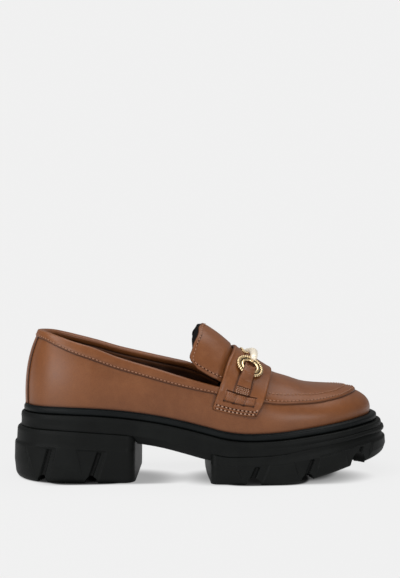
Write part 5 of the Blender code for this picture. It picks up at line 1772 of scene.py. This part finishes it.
# floor, lights and camera
stageShape = {
    "grey": 0.875, "size": 6.0, "floorTone": 0.76, "near": 0.16, "far": 0.46, "evened": 0.92,
    "worldLight": 0.30,
    # place, aim, size, power
    "lights": {
        "overhead": ((0.0, 0.05, 1.00), (0.0, 0.0, 0.03), (1.20, 0.70), 7.0),
        "frontLeft": ((-0.72, -0.74, 0.17), (-0.06, 0.0, 0.07), (0.40, 0.28), 2.7),
        "upperLeft": ((-0.62, -0.42, 0.62), (0.02, 0.0, 0.08), (0.36, 0.36), 2.4),
        "frontRight": ((0.46, -0.98, 0.34), (0.06, 0.0, 0.05), (0.50, 0.30), 3.5),
    },
    # contact shadows: centre x and y, half length, half width, where each starts and ends, depth,
    # front edge, power
    "shadows": [
        (-0.0850, -0.001, 0.0320, 0.0385, 0.80, 1.06, 0.97, -0.060, 2),
        (-0.0975, 0.0, 0.0420, 0.0365, 0.80, 1.04, 0.97, -0.060, 1),
        (0.0420, -0.002, 0.0360, 0.0500, 0.80, 1.06, 0.97, -0.060, 2),
        (0.0700, -0.002, 0.0340, 0.0400, 0.60, 1.05, 0.80, -0.060, 1),
        (-0.0680, -0.023, 0.0500, 0.0300, 0.30, 1.45, 0.58, -0.039, 1),
        (0.0510, -0.024, 0.0660, 0.0310, 0.30, 1.45, 0.66, -0.049, 1),
    ],
}


def shadowOn(root, place):
    # light left on the floor: one minus each soft ellipse, cut off in front of the shoe, multiplied
    # together
    x, y = (root.node("ShaderNodeSeparateXYZ", None, {0: place}, output=axis) for axis in (0, 1))
    left = None
    for row in stageShape["shadows"]:
        centreX, centreY, halfLong, halfWide, starts, ends, depth, front, power = row
        along, aside = (x - centreX) * (1 / halfLong), (y - centreY) * (1 / halfWide)
        away = (along * along) ** power + (aside * aside) ** power
        shade = (1 - away.clipped(starts, ends)) * y.clipped(front - 4 * mm, front + 3 * mm)
        lit = 1 - shade * depth
        left = lit if left is None else left * lit
    return left


def glow(root, colour):
    # light of its own, the same from all sides
    return root.node("ShaderNodeEmission", None, {"Color": colour, "Strength": 1.0})


def addStage(name, points, faces, root, surface, material):
    # an object of the set, its material's surface given as a wire
    mesh = bpy.data.meshes.new(name)
    mesh.from_pydata(points, [], faces)
    root.tree.links.new(surface.socket, root.tree.nodes["Material Output"].inputs["Surface"])
    mesh.materials.append(material)
    stage = bpy.data.objects.new(name, mesh)
    bpy.context.scene.collection.objects.link(stage)
    return stage


def makeFloor():
    # a plain pale floor, even in tone far from the shoe, mostly its own even glow with painted
    # contact shadows near the shoe
    made, root, place, shader = startMaterial("pale_floor")
    size, grey = stageShape["size"], (stageShape["grey"],) * 3
    connect(root, shader, Base_Color=(stageShape["floorTone"],) * 3, Roughness=0.9,
            Specular_IOR_Level=0.1)
    far = glow(root, root.blend(shadowOn(root, place), (0.0, 0.0, 0.0), grey))
    distance = root.node("ShaderNodeVectorMath", {"operation": "LENGTH"}, {0: place}, output=1)
    evened = stageShape["evened"]
    fade = distance.clipped(stageShape["near"], stageShape["far"]) * (1 - evened) + evened
    mixed = root.node("ShaderNodeMixShader", None,
                      {0: fade, 1: Wire(root.tree, shader.outputs[0]), 2: far})
    corners = [(-size, -size, 0), (size, -size, 0), (size, size, 0), (-size, size, 0)]
    floor = addStage("floor", corners, [(0, 1, 2, 3)], root, mixed, made)


def makeBackdrop():
    # a plain dome round the whole set: seen by the camera, it neither lights nor shades the shoe
    turn = np.linspace(0, 2 * math.pi, 65)[:-1][None, :]
    up = np.linspace(-0.02, math.pi / 2, 17)[:, None]
    ways = (np.cos(up) * np.cos(turn), np.cos(up) * np.sin(turn), np.sin(up) + 0 * turn)
    dome = stageShape["size"] * 0.9 * np.stack(ways, -1).reshape(-1, 3)
    made, root, _, _ = startMaterial("pale_backdrop")
    backdrop = addStage("backdrop", dome.tolist(), gridFaces(17, 64, wrapColumns=True).tolist(),
                        root, glow(root, (stageShape["grey"],) * 3), made)
    for kind in ("diffuse", "glossy", "transmission", "shadow", "volume_scatter"):
        setattr(backdrop, "visible_" + kind, False)


def addLight(name, place, aim, size, power):
    data = bpy.data.lights.new(name, "AREA")
    data.shape, data.size, data.size_y, data.energy = "RECTANGLE", size[0], size[1], power
    light = bpy.data.objects.new(name, data)
    bpy.context.scene.collection.objects.link(light)
    light.location = place
    light.rotation_euler = (Vector(aim) - Vector(place)).to_track_quat("-Z", "Y").to_euler()


def makeStage():
    makeFloor()
    makeBackdrop()
    world = bpy.data.worlds.new("studio")
    bpy.context.scene.world = world
    world.use_nodes = True
    background = world.node_tree.nodes["Background"]
    background.inputs["Color"].default_value = (1, 1, 1, 1)
    background.inputs["Strength"].default_value = stageShape["worldLight"]
    for name, (place, aim, size, power) in stageShape["lights"].items():
        addLight(name, place, aim, size, power)
    bpy.context.scene.view_settings.view_transform = "Standard"


# degrees round the shoe, distance, sideways shift, height, sensor and focal length in mm
cameraShape = {
    "turn": 4.0, "distance": 0.6, "aside": -0.0020, "height": 0.1395, "sensor": 36.0,
    "lens": 779 / 578 * 36,
}


def makeCamera():
    # level, looking at the outer side from a little behind the middle
    data = bpy.data.cameras.new("camera")
    camera = bpy.data.objects.new("camera", data)
    bpy.context.scene.collection.objects.link(camera)
    turn, away = math.radians(cameraShape["turn"]), cameraShape["distance"]
    place = (-away * math.sin(turn) + cameraShape["aside"], -away * math.cos(turn),
             cameraShape["height"])
    camera.location, camera.rotation_euler = place, (math.radians(90), 0, -turn)
    data.sensor_width, data.lens = cameraShape["sensor"], cameraShape["lens"]
    bpy.context.scene.camera = camera


makeStage()
makeCamera()
print("stage and camera are ready")
